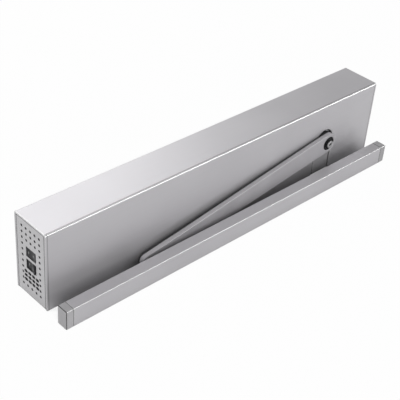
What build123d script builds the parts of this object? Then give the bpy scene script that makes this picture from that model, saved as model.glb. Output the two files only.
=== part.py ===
"""Electromechanical swing door operator with a slide-channel arm.

Millimetres. The origin is the centre of the wall-mounting face, +X runs along the cover towards
the drive end, +Y points away from the arm and +Z points away from the wall.
"""
from build123d import *
from math import acos, atan2, cos, hypot, pi, radians, sin, sqrt, tan
import os

os.makedirs("parts", exist_ok=True)

# Cover extrusion
cover_length = 685.0
cover_depth = 70.0
cover_height = 130.0
cover_wall = 2.6
cover_edge_radius = 2.2
snap_rib_width = 1.2
snap_rib_height = 2.5

# Mounting plate, a steel channel behind the cover
plate_thickness = 3.0
plate_flange_height = 15.0
plate_bend_radius = 1.0
plate_slot_clearance = 0.5
plate_side_clearance = 0.3
wall_screw_inset = 39.5
wall_screw_spacing_y = 40.0
wall_screw_hole_radius = 3.25
tapped_hole_radius = 1.7
cable_entry_radius = 10.0
cable_entry_offset = 24.0
grommet_wall = 2.0
grommet_flange = 2.5
grommet_lip = 1.5
grommet_taper = 0.6

# End caps
end_cap_thickness = 2.5
end_cap_recess = 0.5
end_cap_clearance = 0.4
end_cap_chamfer = 0.5
end_cap_rim_depth = 8.0
end_cap_rim_wall = 1.6
end_cap_foot_length = 16.0
end_cap_foot_width = 44.0
end_cap_foot_thickness = 2.5
end_cap_screw_spread = 28.0

# Ventilation pattern and switch windows of the switch-side end cap
vent_hole_radius = 1.8
vent_pitch = 10.0
vent_column_count = 5
vent_first_row = 15.0
vent_row_count = 11
vent_full_rows = (0, 8, 9, 10)
window_width = 22.0
window_height = 16.0
window_levels = (76.0, 55.0)
slot_vent_length = 7.0
slot_vent_width = 4.4
slot_vent_pitch_y = 8.8
slot_vent_pitch_z = 7.3
slot_vent_level = 32.6

# Rocker switches
rocker_clearance = 0.5
rocker_tip_clearance = 0.8
rocker_tilt = 10.0
rocker_proud = 0.6
rocker_dish = 1.4
rocker_pin_radius = 1.5
rocker_depth = 5.0
rocker_rim = 2.4
rocker_back_wall = 2.0
switch_wall = 1.6
switch_depth = 20.0

# Output spindle and its slot in the cover
spindle_height = 61.0
spindle_radius = 10.0
spindle_square = 14.0
spindle_square_corner = 1.5
spindle_shoulder = 1.0
spindle_chamfer = 1.0
slot_cover_recess = 1.0
slot_cover_side_gap = 2.4
slot_cover_drop = 12.0
slot_cover_lip = 4.0
slot_cover_thickness = 1.5
slot_cover_clearance = 0.25
slot_cover_edge_radius = 0.5

# Drive arm
arm_gap = 2.0
arm_thickness = 9.0
arm_reach = 400.0
arm_head_radius = 17.5
arm_neck_radius = 14.5
arm_elbow_setback = 45.0
arm_wall_clearance = 2.2
arm_end_radius = 10.0
arm_lean = 6.0
arm_lean_start = 26.0
arm_lean_stop = 20.0
arm_bend_radius = 120.0
arm_edge_radius = 1.0
arm_hub_radius = 17.0
hub_slot_gap = 4.2
hub_gap = 2.0
hub_recess_radius = 12.5
hub_recess_depth = 0.8
hub_washer_thickness = 1.6
hub_screw_radius = 6.5
hub_screw_head = 4.6
hub_screw_shank = 4.0
hub_screw_length = 18.0
hub_screw_hex = 5.0
hub_screw_socket_floor = 1.4
hub_screw_chamfer = 0.6
hub_screw_tip_gap = 1.0
washer_clearance = 0.1

# Guide track and its slide block
track_length = 680.0
track_overhang = 2.0
track_gap = 27.5
track_depth = 19.0
track_height = 31.0
track_wall = 2.5
track_pin_height = 14.5
track_slot = 12.0
track_edge_radius = 0.8
track_cap_length = 13.0
track_cap_tongue = 8.0
track_cap_chamfer = 0.4
track_screw_inset = 24.0
track_screw_radius = 2.6
block_length = 44.0
block_play = 0.25
block_pin_radius = 4.0
block_pin_head_radius = 6.5
block_pin_head_height = 1.6
block_pin_end_gap = 4.0
block_pin_face_gap = 0.4
block_corner_radius = 1.0
block_pocket_offset = 14.7
block_pocket_length = 8.8
block_pocket_width = 4.0
buffer_length = 12.0
buffer_corner_radius = 2.0
buffer_edge_radius = 1.5

# Gear train
pressure_angle = radians(20.0)
addendum_factor = 0.75
dedendum_factor = 1.0
tooth_thinning = 0.24
output_module = 2.0
output_teeth = 36
pinion_teeth = 12
motor_module = 1.25
wheel_teeth = 56
motor_angle = radians(40.0)
sector_first_tooth = -1
sector_last_tooth = 14
sector_width = 10.0
sector_hub_radius = 16.0
wheel_width = 6.0
pinion_overhang = 0.5
gear_shaft_radius = 5.0
gear_shaft_end_gap = 0.5
wheel_hole_offset = 21.0
wheel_hole_radius = 6.0
wheel_hole_count = 6
wheel_hub_wall = 4.0

# Heart cam, roller and closing spring
cam_base_reach = 22.0
cam_rise = 18.0
spindle_travel = radians(130.0)
cam_end = radians(142.0)
cam_thickness = 12.0
cam_step_count = 9
cam_roller_gap = 0.3
roller_radius = 8.0
roller_width = 11.0
roller_pin_radius = 3.0
fork_cheek = 4.0
fork_clearance = 0.5
fork_half_height = 10.0
fork_length = 22.0
fork_slot_depth = 11.0
fork_nose_radius = 8.0
collar_radius = 20.7
collar_thickness = 8.0
plunger_rod_radius = 7.0
plunger_rod_length = 60.0
spring_length = 120.0
spring_outer_radius = 20.0
spring_wire_radial = 6.0
spring_wire_axial = 5.6
spring_turns = 10.5
spring_end_gap = 0.5
spring_seat_thickness = 6.0
spring_spigot_clearance = 0.5
spring_spigot_length = 6.0
tube_wall = 3.0
tube_end_wall = 6.0
tube_flange_size = 54.0
tube_flange_corner = 5.0
tube_screw_offset = 22.0
tube_flange_thickness = 5.0
adjuster_radius = 6.0
adjuster_gap = 6.0
adjuster_head_length = 7.0
adjuster_hex = 17.0
saddle_width = 14.0
saddle_offset = 30.0
saddle_inset = 4.0
saddle_foot = 8.6
saddle_foot_thickness = 4.0
saddle_clearance = 0.2

# Cast drive housing
housing_wall = 4.0
lid_screw_clearance = 0.4
housing_top_gap = 4.4
housing_side_gap = 3.4
housing_end_gap = 9.5
housing_left_reach = 52.0
housing_corner_radius = 8.0
foot_boss_radius = 7.0
foot_inset_left = 22.0
foot_inset_right = 50.0
foot_spread = 34.0
lid_post_radius = 5.0
lid_post_inset = 4.6
lid_screw_depth = 8.0
lid_thread_depth = 10.0
middle_post_offset = 14.0
housing_edge_radius = 2.0
lid_edge_radius = 1.0
lid_rib_width = 2.5
lid_rib_height = 1.2
lid_rib_spread = 60.0
bearing_outer_radius = 18.0
bearing_width = 6.0
race_groove_width = 4.0
race_groove_depth = 0.8
seat_lip = 1.0
bush_outer_radius = 7.5
bush_length = 6.0
boss_wall = 3.5

# Motor
motor_radius = 26.0
motor_wall = 3.0
motor_end_gap = 2.4
motor_edge_radius = 1.5
motor_shaft_radius = 3.0
motor_screw_offset = 18.7
motor_screw_end_gap = 0.5
motor_vent_offset = 16.0
motor_vent_radius = 3.0
motor_vent_count = 4
magnet_thickness = 5.0
magnet_gap_width = 4.0
magnet_gap_length = 11.0
magnet_count = 4
rotor_air_gap = 0.6
rotor_slot_count = 7
rotor_slot_length = 12.0
rotor_slot_width = 2.0
motor_layer_gap = 3.0
encoder_radius = 12.0
encoder_thickness = 1.2
encoder_slot_count = 12
encoder_slot_length = 3.0
encoder_slot_width = 2.0
encoder_slot_inset = 2.5
encoder_board_gap = 1.0
encoder_board_thickness = 1.6
encoder_board_width = 34.0
encoder_board_height = 24.0
encoder_boss_width = 20.0
encoder_boss_height = 14.0

# Power supply
supply_inset = 52.5
supply_length = 120.0
supply_half_width = 27.0
supply_height = 52.0
supply_wall = 1.2
supply_corner_radius = 1.5
supply_tab = 8.0
supply_tab_width = 16.0
supply_slot_count = 7
supply_slot_pitch = 13.0
supply_slot_length = 34.0
supply_slot_width = 4.0
supply_board_standoff = 6.0
supply_post_radius = 3.0
supply_post_inset = 7.0
supply_board_gap = 1.0
transformer_length = 36.0
transformer_depth = 34.0
transformer_height = 30.0
transformer_inset = 34.0
winding_overhang = 4.0
winding_depth = 22.0
winding_height = 20.0
transformer_chamfer = 1.0
capacitor_radius = 9.0
capacitor_height = 28.0
capacitor_spacing = 24.0
capacitor_inset = 20.0
capacitor_edge_radius = 1.2

# Control unit
tray_offset = 18.0
tray_gap = 5.0
tray_half_width = 28.0
tray_height = 38.0
tray_wall = 2.0
tray_corner_radius = 4.0
tray_screw_inset = 14.0
tray_post_inset = 8.0
tray_post_radius = 4.0
board_drop = 6.0
board_thickness = 1.6
board_clearance = 0.5
board_corner_radius = 2.0
terminal_pitch = 24.0
terminal_length = 20.0
terminal_depth = 9.0
terminal_height = 11.0
terminal_inset = 1.0
terminal_way_count = 4
terminal_way_pitch = 5.0
terminal_way_width = 3.2
terminal_way_height = 3.6
terminal_way_depth = 3.0
terminal_way_level = 3.5
tray_window_width = 14.0
tray_window_height = 6.0
relay_pitch = 24.0
relay_length = 19.0
relay_depth = 15.0
relay_height = 15.0
relay_inset = 8.5
relay_chamfer = 0.6
processor_size = 18.0
processor_thickness = 2.0
processor_inset = 17.0

# Fits
running_clearance = 0.05
fixed_clearance = 0.02
tooth_side_gap = 1.0

# Screws
screw_radius = 1.65
screw_head_radius = 3.2
screw_head_height = 1.9
plate_screw_end_gap = 0.4

# Places that follow from the sizes above
half_length = cover_length / 2
half_depth = cover_depth / 2
inner_half = half_depth - cover_wall
inner_top = cover_height - cover_wall
front_face = -half_depth
spindle_slot_radius = arm_hub_radius + hub_slot_gap

output_radius = output_module * output_teeth / 2
pinion_radius = output_module * pinion_teeth / 2
wheel_radius = motor_module * wheel_teeth / 2
motor_pinion_radius = motor_module * pinion_teeth / 2
output_distance = output_radius + pinion_radius
motor_distance = wheel_radius + motor_pinion_radius

housing_right = half_length - housing_end_gap
motor_x = housing_right - housing_wall - motor_end_gap - motor_radius
gear_shaft_x = motor_x - motor_distance * cos(motor_angle)
spindle_x = gear_shaft_x - output_distance
motor_z = spindle_height + motor_distance * sin(motor_angle)
housing_left = spindle_x - housing_left_reach
low_post_z = plate_flange_height + screw_head_radius + lid_screw_clearance
housing_bottom = low_post_z - lid_post_inset - housing_wall
housing_foot = housing_bottom - plate_thickness
housing_top = inner_top - housing_top_gap

lid_front = -(inner_half - housing_side_gap)
lid_back = lid_front + housing_wall
rear_outer = inner_half - housing_side_gap
rear_inner = rear_outer - housing_wall

fork_half_width = cam_thickness / 2 + fork_clearance + fork_cheek
sector_back = -(fork_half_width + fork_clearance)
sector_front = sector_back - sector_width
motor_front = cam_thickness / 2
wheel_front = motor_front + motor_layer_gap + tooth_side_gap
wheel_back = wheel_front + wheel_width
encoder_front = wheel_back + 2 * tooth_side_gap
encoder_back = encoder_front + encoder_thickness

arm_back = front_face - arm_gap
arm_front = arm_back - arm_thickness
track_back = front_face - track_gap
track_front = track_back - track_depth
track_left = -half_length - track_overhang
track_right = track_left + track_length
track_mid_x = (track_left + track_right) / 2
pin_x = spindle_x - sqrt(arm_reach**2 - (spindle_height - track_pin_height) ** 2)
elbow_x = pin_x + arm_elbow_setback
elbow_z = arm_neck_radius + arm_wall_clearance
arm_end_front = arm_front - arm_lean

roller_x = spindle_x - cam_base_reach
collar_front = roller_x - fork_length
collar_back = collar_front - collar_thickness
spring_seat_x = collar_back - spring_length
tube_bore_radius = collar_radius + running_clearance
tube_radius = tube_bore_radius + tube_wall
tube_end_x = spring_seat_x - spring_seat_thickness - adjuster_gap - tube_end_wall


def facing_arm(y):
    """Plane across the depth at y, seen from the arm side: local x is X and local y is Z."""
    return Plane(origin=(0, y, 0), x_dir=(1, 0, 0), z_dir=(0, -1, 0))


def along(x):
    """Plane across the length at x: local x is Y and local y is Z."""
    return Plane(origin=(x, 0, 0), x_dir=(0, 1, 0), z_dir=(1, 0, 0))


def finish(piece, name):
    """Label one sub-part and write it."""
    piece.part.label = name
    export_step(piece.part, f"parts/{name}.step")


def screws(places, axis_plane, grip):
    """Cap screws seated at the places of a plane whose normal points out of the head."""
    with BuildPart() as group:
        with BuildSketch(axis_plane):
            with Locations(*places):
                Circle(screw_head_radius)
        extrude(amount=screw_head_height)
        with BuildSketch(axis_plane):
            with Locations(*places):
                Circle(screw_radius)
        extrude(amount=-grip)
        with BuildSketch(axis_plane.offset(screw_head_height)):
            with Locations(*places):
                RegularPolygon(screw_radius, 6)
        extrude(amount=-screw_head_height / 2, mode=Mode.SUBTRACT)
    return group


# Cover: a U-shaped extrusion with snap ribs, and a slot for the spindle that is open to the wall
plate_half_width = inner_half - plate_side_clearance
plate_half_length = half_length - end_cap_recess - end_cap_thickness
slot_lip_half = spindle_slot_radius + slot_cover_lip

with BuildPart() as cover_hood:
    with BuildSketch(along(-half_length)) as cover_section:
        with Locations((0, cover_height / 2)):
            Rectangle(cover_depth, cover_height)
        fillet(cover_section.vertices().group_by(Axis.Y)[-1], cover_edge_radius)
        with Locations((0, inner_top / 2)):
            Rectangle(2 * inner_half, inner_top, mode=Mode.SUBTRACT)
    extrude(amount=cover_length)
    with BuildSketch(along(-plate_half_length)):
        with Locations(
            (-inner_half + snap_rib_width / 2, plate_flange_height + snap_rib_height / 2),
            (inner_half - snap_rib_width / 2, plate_flange_height + snap_rib_height / 2),
        ):
            Rectangle(snap_rib_width, snap_rib_height)
    extrude(amount=2 * plate_half_length)
    with BuildSketch(facing_arm(-inner_half + snap_rib_width)):
        with Locations((spindle_x, spindle_height / 2)):
            Rectangle(2 * (slot_lip_half + slot_cover_clearance), spindle_height)
    extrude(amount=snap_rib_width, mode=Mode.SUBTRACT)
    with BuildSketch(facing_arm(-inner_half)):
        with Locations((spindle_x, spindle_height)):
            Circle(spindle_slot_radius)
        with Locations((spindle_x, spindle_height / 2)):
            Rectangle(2 * spindle_slot_radius, spindle_height)
    extrude(amount=cover_wall, mode=Mode.SUBTRACT)
finish(cover_hood, "cover_hood")

# Slot cover: closes the slot below the arm hub, held by a lip behind the cover wall
slot_cover_top = spindle_height - slot_cover_drop
with BuildPart() as slot_cover:
    with BuildSketch(facing_arm(-inner_half + slot_cover_thickness)):
        with Locations((spindle_x, (slot_cover_top + slot_cover_clearance) / 2)):
            Rectangle(2 * slot_lip_half, slot_cover_top - slot_cover_clearance)
        with Locations((spindle_x, spindle_height)):
            Circle(arm_hub_radius + arm_gap, mode=Mode.SUBTRACT)
    extrude(amount=slot_cover_thickness)
    with BuildSketch(facing_arm(-inner_half)):
        with Locations((spindle_x, (slot_cover_top + slot_cover_clearance) / 2)):
            Rectangle(
                2 * (spindle_slot_radius - slot_cover_side_gap), slot_cover_top - slot_cover_clearance
            )
        with Locations((spindle_x, spindle_height)):
            Circle(arm_hub_radius + arm_gap, mode=Mode.SUBTRACT)
    extrude(amount=cover_wall - slot_cover_recess)
    fillet(slot_cover.faces().sort_by(Axis.Y)[0].edges().filter_by(Axis.Z), slot_cover_edge_radius)
finish(slot_cover, "slot_cover")

# Places of the pieces that stand on the mounting plate
foot_screw_x = (housing_left + foot_inset_left, housing_right - foot_inset_right)
cap_screw_x = plate_half_length - end_cap_foot_length / 2
supply_left = -half_length + supply_inset
supply_right = supply_left + supply_length
supply_mid_x = (supply_left + supply_right) / 2
cable_entry_x = supply_right + cable_entry_offset
tray_left = cable_entry_x + tray_offset
tray_right = tube_end_x - adjuster_head_length - tray_gap
tray_length = tray_right - tray_left
tray_mid_x = (tray_left + tray_right) / 2
saddle_x = tube_end_x + saddle_offset

drive_feet = [(x, y) for x in foot_screw_x for y in (-foot_spread / 2, foot_spread / 2)]
cap_feet = [(side * cap_screw_x, y * end_cap_screw_spread / 2) for side in (-1, 1) for y in (-1, 1)]
supply_feet = [(supply_left - supply_tab / 2, 0), (supply_right + supply_tab / 2, 0)]
tray_feet = [(tray_left + tray_screw_inset, 0), (tray_right - tray_screw_inset, 0)]
saddle_half_width = tube_radius - saddle_inset
saddle_feet = [(saddle_x, side * (saddle_half_width + saddle_foot / 2)) for side in (-1, 1)]

# Mounting plate: folded steel with wall holes, tapped holes and a cable entry
with BuildPart() as mounting_plate:
    with BuildSketch(along(-plate_half_length)):
        with Locations((0, plate_thickness / 2)):
            Rectangle(2 * plate_half_width, plate_thickness)
    extrude(amount=2 * plate_half_length)
    flange_start = plate_half_length - end_cap_foot_length
    with BuildSketch(along(-flange_start)):
        for side in (-1, 1):
            with Locations((side * (plate_half_width - plate_thickness / 2), plate_flange_height / 2)):
                Rectangle(plate_thickness, plate_flange_height)
    extrude(amount=2 * flange_start)
    for side in (0, -1):
        bend = mounting_plate.edges().filter_by(Axis.X).group_by(Axis.Z)[0].sort_by(Axis.Y)[side]
        fillet(bend, plate_bend_radius)
    with BuildSketch(Plane.XY):
        with Locations((spindle_x, -plate_half_width)):
            Rectangle(
                2 * (slot_lip_half + slot_cover_clearance), 2 * (plate_thickness + plate_slot_clearance)
            )
    extrude(amount=plate_flange_height, mode=Mode.SUBTRACT)
    with BuildSketch(Plane.XY):
        with GridLocations(2 * (plate_half_length - wall_screw_inset), wall_screw_spacing_y, 2, 2):
            Circle(wall_screw_hole_radius)
        with Locations((cable_entry_x, 0)):
            Circle(cable_entry_radius)
        with Locations(*drive_feet, *cap_feet, *supply_feet, *tray_feet, *saddle_feet):
            Circle(tapped_hole_radius)
    extrude(amount=plate_thickness, mode=Mode.SUBTRACT)
finish(mounting_plate, "mounting_plate")

# Cable grommet: a rubber ring that grips the edge of the cable entry
with BuildPart() as cable_grommet:
    with BuildSketch(Plane.XZ):
        with BuildLine():
            Polyline(
                (cable_entry_radius - grommet_wall, 0),
                (cable_entry_radius, 0),
                (cable_entry_radius, plate_thickness),
                (cable_entry_radius + grommet_flange, plate_thickness),
                (cable_entry_radius + grommet_flange - grommet_taper, plate_thickness + grommet_lip),
                (cable_entry_radius - grommet_wall, plate_thickness + grommet_lip),
                close=True,
            )
        make_face()
    revolve(axis=Axis.Z)
cable_grommet.part.position = (cable_entry_x, 0, 0)
finish(cable_grommet, "cable_grommet")


def end_cap_body(outward):
    """Moulded tray that closes one end: plate, inner rim and a foot on the mounting plate."""
    half_width = inner_half - end_cap_clearance
    top = inner_top - end_cap_clearance
    inner_x = outward * plate_half_length
    rim_bottom = plate_flange_height + snap_rib_height + 2 * end_cap_clearance
    with BuildPart() as cap:
        with BuildSketch(along(inner_x)):
            with Locations((0, top / 2)):
                Rectangle(2 * half_width, top)
        extrude(amount=outward * end_cap_thickness)
        outer_face = cap.faces().sort_by(Axis.X, reverse=outward < 0)[-1]
        chamfer(outer_face.edges(), end_cap_chamfer)
        with BuildSketch(along(inner_x)):
            with Locations((0, (rim_bottom + top) / 2)):
                Rectangle(2 * half_width, top - rim_bottom)
            with Locations((0, (rim_bottom + top) / 2 - end_cap_rim_wall)):
                Rectangle(2 * (half_width - end_cap_rim_wall), top - rim_bottom, mode=Mode.SUBTRACT)
        extrude(amount=-outward * end_cap_rim_depth)
        with BuildSketch(Plane.XY.offset(plate_thickness)):
            with Locations((inner_x - outward * end_cap_foot_length / 2, 0)):
                Rectangle(end_cap_foot_length, end_cap_foot_width)
        extrude(amount=end_cap_foot_thickness)
        with BuildSketch(Plane.XY.offset(plate_thickness)):
            with Locations(*[place for place in cap_feet if place[0] * outward > 0]):
                Circle(tapped_hole_radius)
        extrude(amount=end_cap_foot_thickness, mode=Mode.SUBTRACT)
    return cap


# Plain end cap on the drive side
end_cap_plain_side = end_cap_body(1)
finish(end_cap_plain_side, "end_cap_plain_side")

# End cap on the switch side, perforated, with two rocker windows and three rows of slots
cap_outer_x = -plate_half_length - end_cap_thickness
vent_half = (vent_column_count - 1) * vent_pitch / 2
full_holes = [
    (-vent_half + column * vent_pitch, vent_first_row + row * vent_pitch)
    for row in vent_full_rows
    for column in range(vent_column_count)
]
side_holes = [
    (side * vent_half, vent_first_row + row * vent_pitch)
    for row in range(vent_row_count)
    if row not in vent_full_rows
    for side in (-1, 1)
]
switch_cap_source = end_cap_body(-1)
with BuildPart() as end_cap_switch_side:
    add(switch_cap_source.part)
    with BuildSketch(along(cap_outer_x)):
        with Locations(*full_holes, *side_holes):
            Circle(vent_hole_radius)
        with Locations(*[(0, level) for level in window_levels]):
            Rectangle(window_width, window_height)
        with Locations((0, slot_vent_level)):
            with GridLocations(slot_vent_pitch_y, slot_vent_pitch_z, 4, 3):
                SlotOverall(slot_vent_length, slot_vent_width)
    extrude(amount=end_cap_thickness, mode=Mode.SUBTRACT)
finish(end_cap_switch_side, "end_cap_switch_side")

# Switch housing behind the windows, with a pocket and pin bores for each rocker
rocker_pivot_x = cap_outer_x - rocker_proud + rocker_depth
switch_top = max(window_levels) + window_height / 2 + switch_wall
switch_bottom = min(window_levels) - window_height / 2 - switch_wall
with BuildPart() as switch_housing:
    with BuildSketch(along(-plate_half_length)):
        with Locations((0, (switch_top + switch_bottom) / 2)):
            Rectangle(window_width + 2 * switch_wall, switch_top - switch_bottom)
    extrude(amount=switch_depth)
    with BuildSketch(along(-plate_half_length)):
        with Locations(*[(0, level) for level in window_levels]):
            Rectangle(window_width, window_height)
    extrude(amount=switch_depth - switch_wall, mode=Mode.SUBTRACT)
    with BuildSketch(Plane.XY.offset(switch_bottom)):
        with Locations((rocker_pivot_x, 0)):
            Circle(rocker_pin_radius + running_clearance)
    extrude(amount=switch_top - switch_bottom, mode=Mode.SUBTRACT)
finish(switch_housing, "switch_housing")

# Rockers, each tilting on a pin along Z: the upper rests level, the lower with one side pressed
rocker_half = window_width / 2 - rocker_tip_clearance
rocker_face = -rocker_depth
rocker_back = rocker_pin_radius + rocker_back_wall
for rocker_name, level, rest_tilt in (
    ("program_rocker", window_levels[0], 0.0),
    ("power_rocker", window_levels[1], radians(-rocker_tilt)),
):
    tilt_axis = (cos(rest_tilt), sin(rest_tilt), 0)
    rocker_bottom = level - window_height / 2 + rocker_clearance
    with BuildPart() as rocker:
        with BuildSketch(Plane(origin=(rocker_pivot_x, 0, rocker_bottom), x_dir=tilt_axis)):
            with BuildLine():
                ThreePointArc(
                    (rocker_face, -rocker_half), (rocker_face + rocker_dish, 0), (rocker_face, rocker_half)
                )
                Polyline(
                    (rocker_face, rocker_half),
                    (rocker_face + rocker_rim, rocker_half),
                    (rocker_back, rocker_half / 2),
                    (rocker_back, -rocker_half / 2),
                    (rocker_face + rocker_rim, -rocker_half),
                    (rocker_face, -rocker_half),
                )
            make_face()
        extrude(amount=window_height - 2 * rocker_clearance)
        with BuildSketch(Plane.XY.offset(level - window_height / 2 - switch_wall)):
            with Locations((rocker_pivot_x, 0)):
                Circle(rocker_pin_radius)
        extrude(amount=window_height + 2 * switch_wall)
    finish(rocker, rocker_name)

# Drive housing: an open casting with posts, bosses and feet
cavity_left = housing_left + housing_wall
cavity_right = housing_right - housing_wall
cavity_bottom = housing_bottom + housing_wall
cavity_top = housing_top - housing_wall
housing_mid_x = (housing_left + housing_right) / 2
housing_mid_z = (housing_bottom + housing_top) / 2
lid_posts = [
    (x, z)
    for x in (
        cavity_left + lid_post_inset,
        gear_shaft_x - middle_post_offset,
        cavity_right - lid_post_inset,
    )
    for z in (low_post_z, cavity_top - lid_post_inset)
]
bearing_boss_radius = bearing_outer_radius + boss_wall
bush_boss_radius = bush_outer_radius + boss_wall
rear_bearing_start = rear_outer - bearing_width
rear_bush_start = rear_outer - bush_length

flange_screws = [
    (y * tube_screw_offset, spindle_height + z * tube_screw_offset) for y in (-1, 1) for z in (-1, 1)
]

with BuildPart() as drive_housing:
    with BuildSketch(facing_arm(rear_outer)):
        with Locations((housing_mid_x, housing_mid_z)):
            RectangleRounded(
                housing_right - housing_left, housing_top - housing_bottom, housing_corner_radius
            )
    extrude(amount=rear_outer - lid_back)
    fillet(drive_housing.faces().sort_by(Axis.Y)[-1].edges(), housing_edge_radius)
    with BuildSketch(facing_arm(rear_inner)):
        with Locations((housing_mid_x, housing_mid_z)):
            RectangleRounded(
                cavity_right - cavity_left, cavity_top - cavity_bottom, housing_corner_radius - housing_wall
            )
    extrude(amount=rear_inner - lid_back, mode=Mode.SUBTRACT)
    with BuildSketch(facing_arm(rear_inner)):
        with Locations(*lid_posts):
            Circle(lid_post_radius)
    extrude(amount=rear_inner - lid_back)
    with BuildSketch(facing_arm(rear_inner)):
        with Locations((spindle_x, spindle_height)):
            Circle(bearing_boss_radius)
    extrude(amount=rear_inner - rear_bearing_start + seat_lip)
    with BuildSketch(facing_arm(rear_inner)):
        with Locations((gear_shaft_x, spindle_height)):
            Circle(bush_boss_radius)
    extrude(amount=rear_inner - rear_bush_start + seat_lip)
    with BuildSketch(facing_arm(rear_inner)):
        with Locations((motor_x, motor_z)):
            Rectangle(encoder_boss_width, encoder_boss_height)
    extrude(amount=rear_inner - encoder_back - encoder_board_gap - encoder_board_thickness)
    with BuildSketch(Plane.XY.offset(plate_thickness)):
        with Locations(*drive_feet):
            Circle(foot_boss_radius)
    extrude(amount=housing_foot)
    with BuildSketch(facing_arm(rear_outer)):
        with Locations((spindle_x, spindle_height)):
            Circle(bearing_outer_radius)
    extrude(amount=rear_outer - rear_bearing_start, mode=Mode.SUBTRACT)
    with BuildSketch(facing_arm(rear_bearing_start)):
        with Locations((spindle_x, spindle_height)):
            Circle(spindle_radius + seat_lip)
    extrude(amount=seat_lip, mode=Mode.SUBTRACT)
    with BuildSketch(facing_arm(rear_outer)):
        with Locations((gear_shaft_x, spindle_height)):
            Circle(bush_outer_radius)
    extrude(amount=rear_outer - rear_bush_start, mode=Mode.SUBTRACT)
    with BuildSketch(facing_arm(rear_bush_start)):
        with Locations((gear_shaft_x, spindle_height)):
            Circle(gear_shaft_radius + seat_lip)
    extrude(amount=seat_lip, mode=Mode.SUBTRACT)
    with BuildSketch(along(housing_left)):
        with Locations((0, spindle_height)):
            Circle(tube_bore_radius)
    extrude(amount=housing_wall, mode=Mode.SUBTRACT)
    with BuildSketch(facing_arm(lid_back)):
        with Locations(*lid_posts):
            Circle(tapped_hole_radius)
    extrude(amount=-lid_thread_depth, mode=Mode.SUBTRACT)
    with BuildSketch(along(housing_left)):
        with Locations(*flange_screws):
            Circle(tapped_hole_radius)
    extrude(amount=housing_wall, mode=Mode.SUBTRACT)
    with BuildSketch(Plane.XY.offset(plate_thickness)):
        with Locations(*drive_feet):
            Circle(tapped_hole_radius)
    extrude(amount=housing_foot + housing_wall, mode=Mode.SUBTRACT)
finish(drive_housing, "drive_housing")

# Drive lid: the casting's front wall, with the front bearing seats and stiffening ribs
lid_boss_back = sector_front - tooth_side_gap
motor_screws_at = [
    (motor_x + motor_screw_offset * cos(angle), motor_z + motor_screw_offset * sin(angle))
    for angle in (radians(90), radians(210), radians(330))
]
with BuildPart() as drive_lid:
    with BuildSketch(facing_arm(lid_back)):
        with Locations((housing_mid_x, housing_mid_z)):
            RectangleRounded(
                housing_right - housing_left, housing_top - housing_bottom, housing_corner_radius
            )
    extrude(amount=housing_wall)
    fillet(drive_lid.faces().sort_by(Axis.Y)[0].edges(), lid_edge_radius)
    with BuildSketch(facing_arm(lid_front)):
        with Locations((housing_mid_x, spindle_height)):
            with GridLocations(0, lid_rib_spread, 1, 2):
                Rectangle(cavity_right - cavity_left, lid_rib_width)
        with Locations((spindle_x, spindle_height)):
            with GridLocations(2 * (bearing_boss_radius + lid_rib_width), 0, 2, 1):
                Rectangle(lid_rib_width, lid_rib_spread)
    extrude(amount=lid_rib_height)
    with BuildSketch(facing_arm(lid_boss_back)):
        with Locations((spindle_x, spindle_height)):
            Circle(bearing_boss_radius)
        with Locations((gear_shaft_x, spindle_height)):
            Circle(bush_boss_radius)
    extrude(amount=lid_boss_back - lid_back)
    with BuildSketch(facing_arm(lid_boss_back)):
        with Locations((spindle_x, spindle_height)):
            Circle(spindle_radius + seat_lip)
        with Locations((gear_shaft_x, spindle_height)):
            Circle(gear_shaft_radius + seat_lip)
        with Locations(*lid_posts, *motor_screws_at):
            Circle(tapped_hole_radius)
    extrude(amount=lid_boss_back - lid_front, mode=Mode.SUBTRACT)
    with BuildSketch(facing_arm(lid_front)):
        with Locations((spindle_x, spindle_height)):
            Circle(bearing_outer_radius)
    extrude(amount=-bearing_width, mode=Mode.SUBTRACT)
    with BuildSketch(facing_arm(lid_front)):
        with Locations((gear_shaft_x, spindle_height)):
            Circle(bush_outer_radius)
    extrude(amount=-bush_length, mode=Mode.SUBTRACT)
finish(drive_lid, "drive_lid")

lid_screws = screws(lid_posts, facing_arm(lid_front), housing_wall + lid_screw_depth)
finish(lid_screws, "lid_screws")
motor_screws = screws(
    motor_screws_at, facing_arm(lid_front), housing_wall + motor_wall - motor_screw_end_gap
)
finish(motor_screws, "motor_screws")


def ring(name, x, y_front, outer_radius, bore_radius, width):
    """A plain ring on an axis across the depth, such as a bearing or a bush."""
    with BuildPart() as piece:
        with BuildSketch(facing_arm(y_front + width)):
            with Locations((x, spindle_height)):
                Circle(outer_radius - fixed_clearance)
                Circle(bore_radius + running_clearance, mode=Mode.SUBTRACT)
        extrude(amount=width)
        if width == bearing_width and outer_radius == bearing_outer_radius:
            race_radius = (outer_radius + bore_radius) / 2
            for y, direction in ((y_front, -1), (y_front + width, 1)):
                with BuildSketch(facing_arm(y)):
                    with Locations((x, spindle_height)):
                        Circle(race_radius + race_groove_width / 2)
                        Circle(race_radius - race_groove_width / 2, mode=Mode.SUBTRACT)
                extrude(amount=direction * race_groove_depth, mode=Mode.SUBTRACT)
    finish(piece, name)


# Bearings of the spindle and bushes of the gear shaft
ring("front_bearing", spindle_x, lid_front, bearing_outer_radius, spindle_radius, bearing_width)
ring("rear_bearing", spindle_x, rear_bearing_start, bearing_outer_radius, spindle_radius, bearing_width)
ring("front_bush", gear_shaft_x, lid_front, bush_outer_radius, gear_shaft_radius, bush_length)
ring("rear_bush", gear_shaft_x, rear_bush_start, bush_outer_radius, gear_shaft_radius, bush_length)


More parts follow.
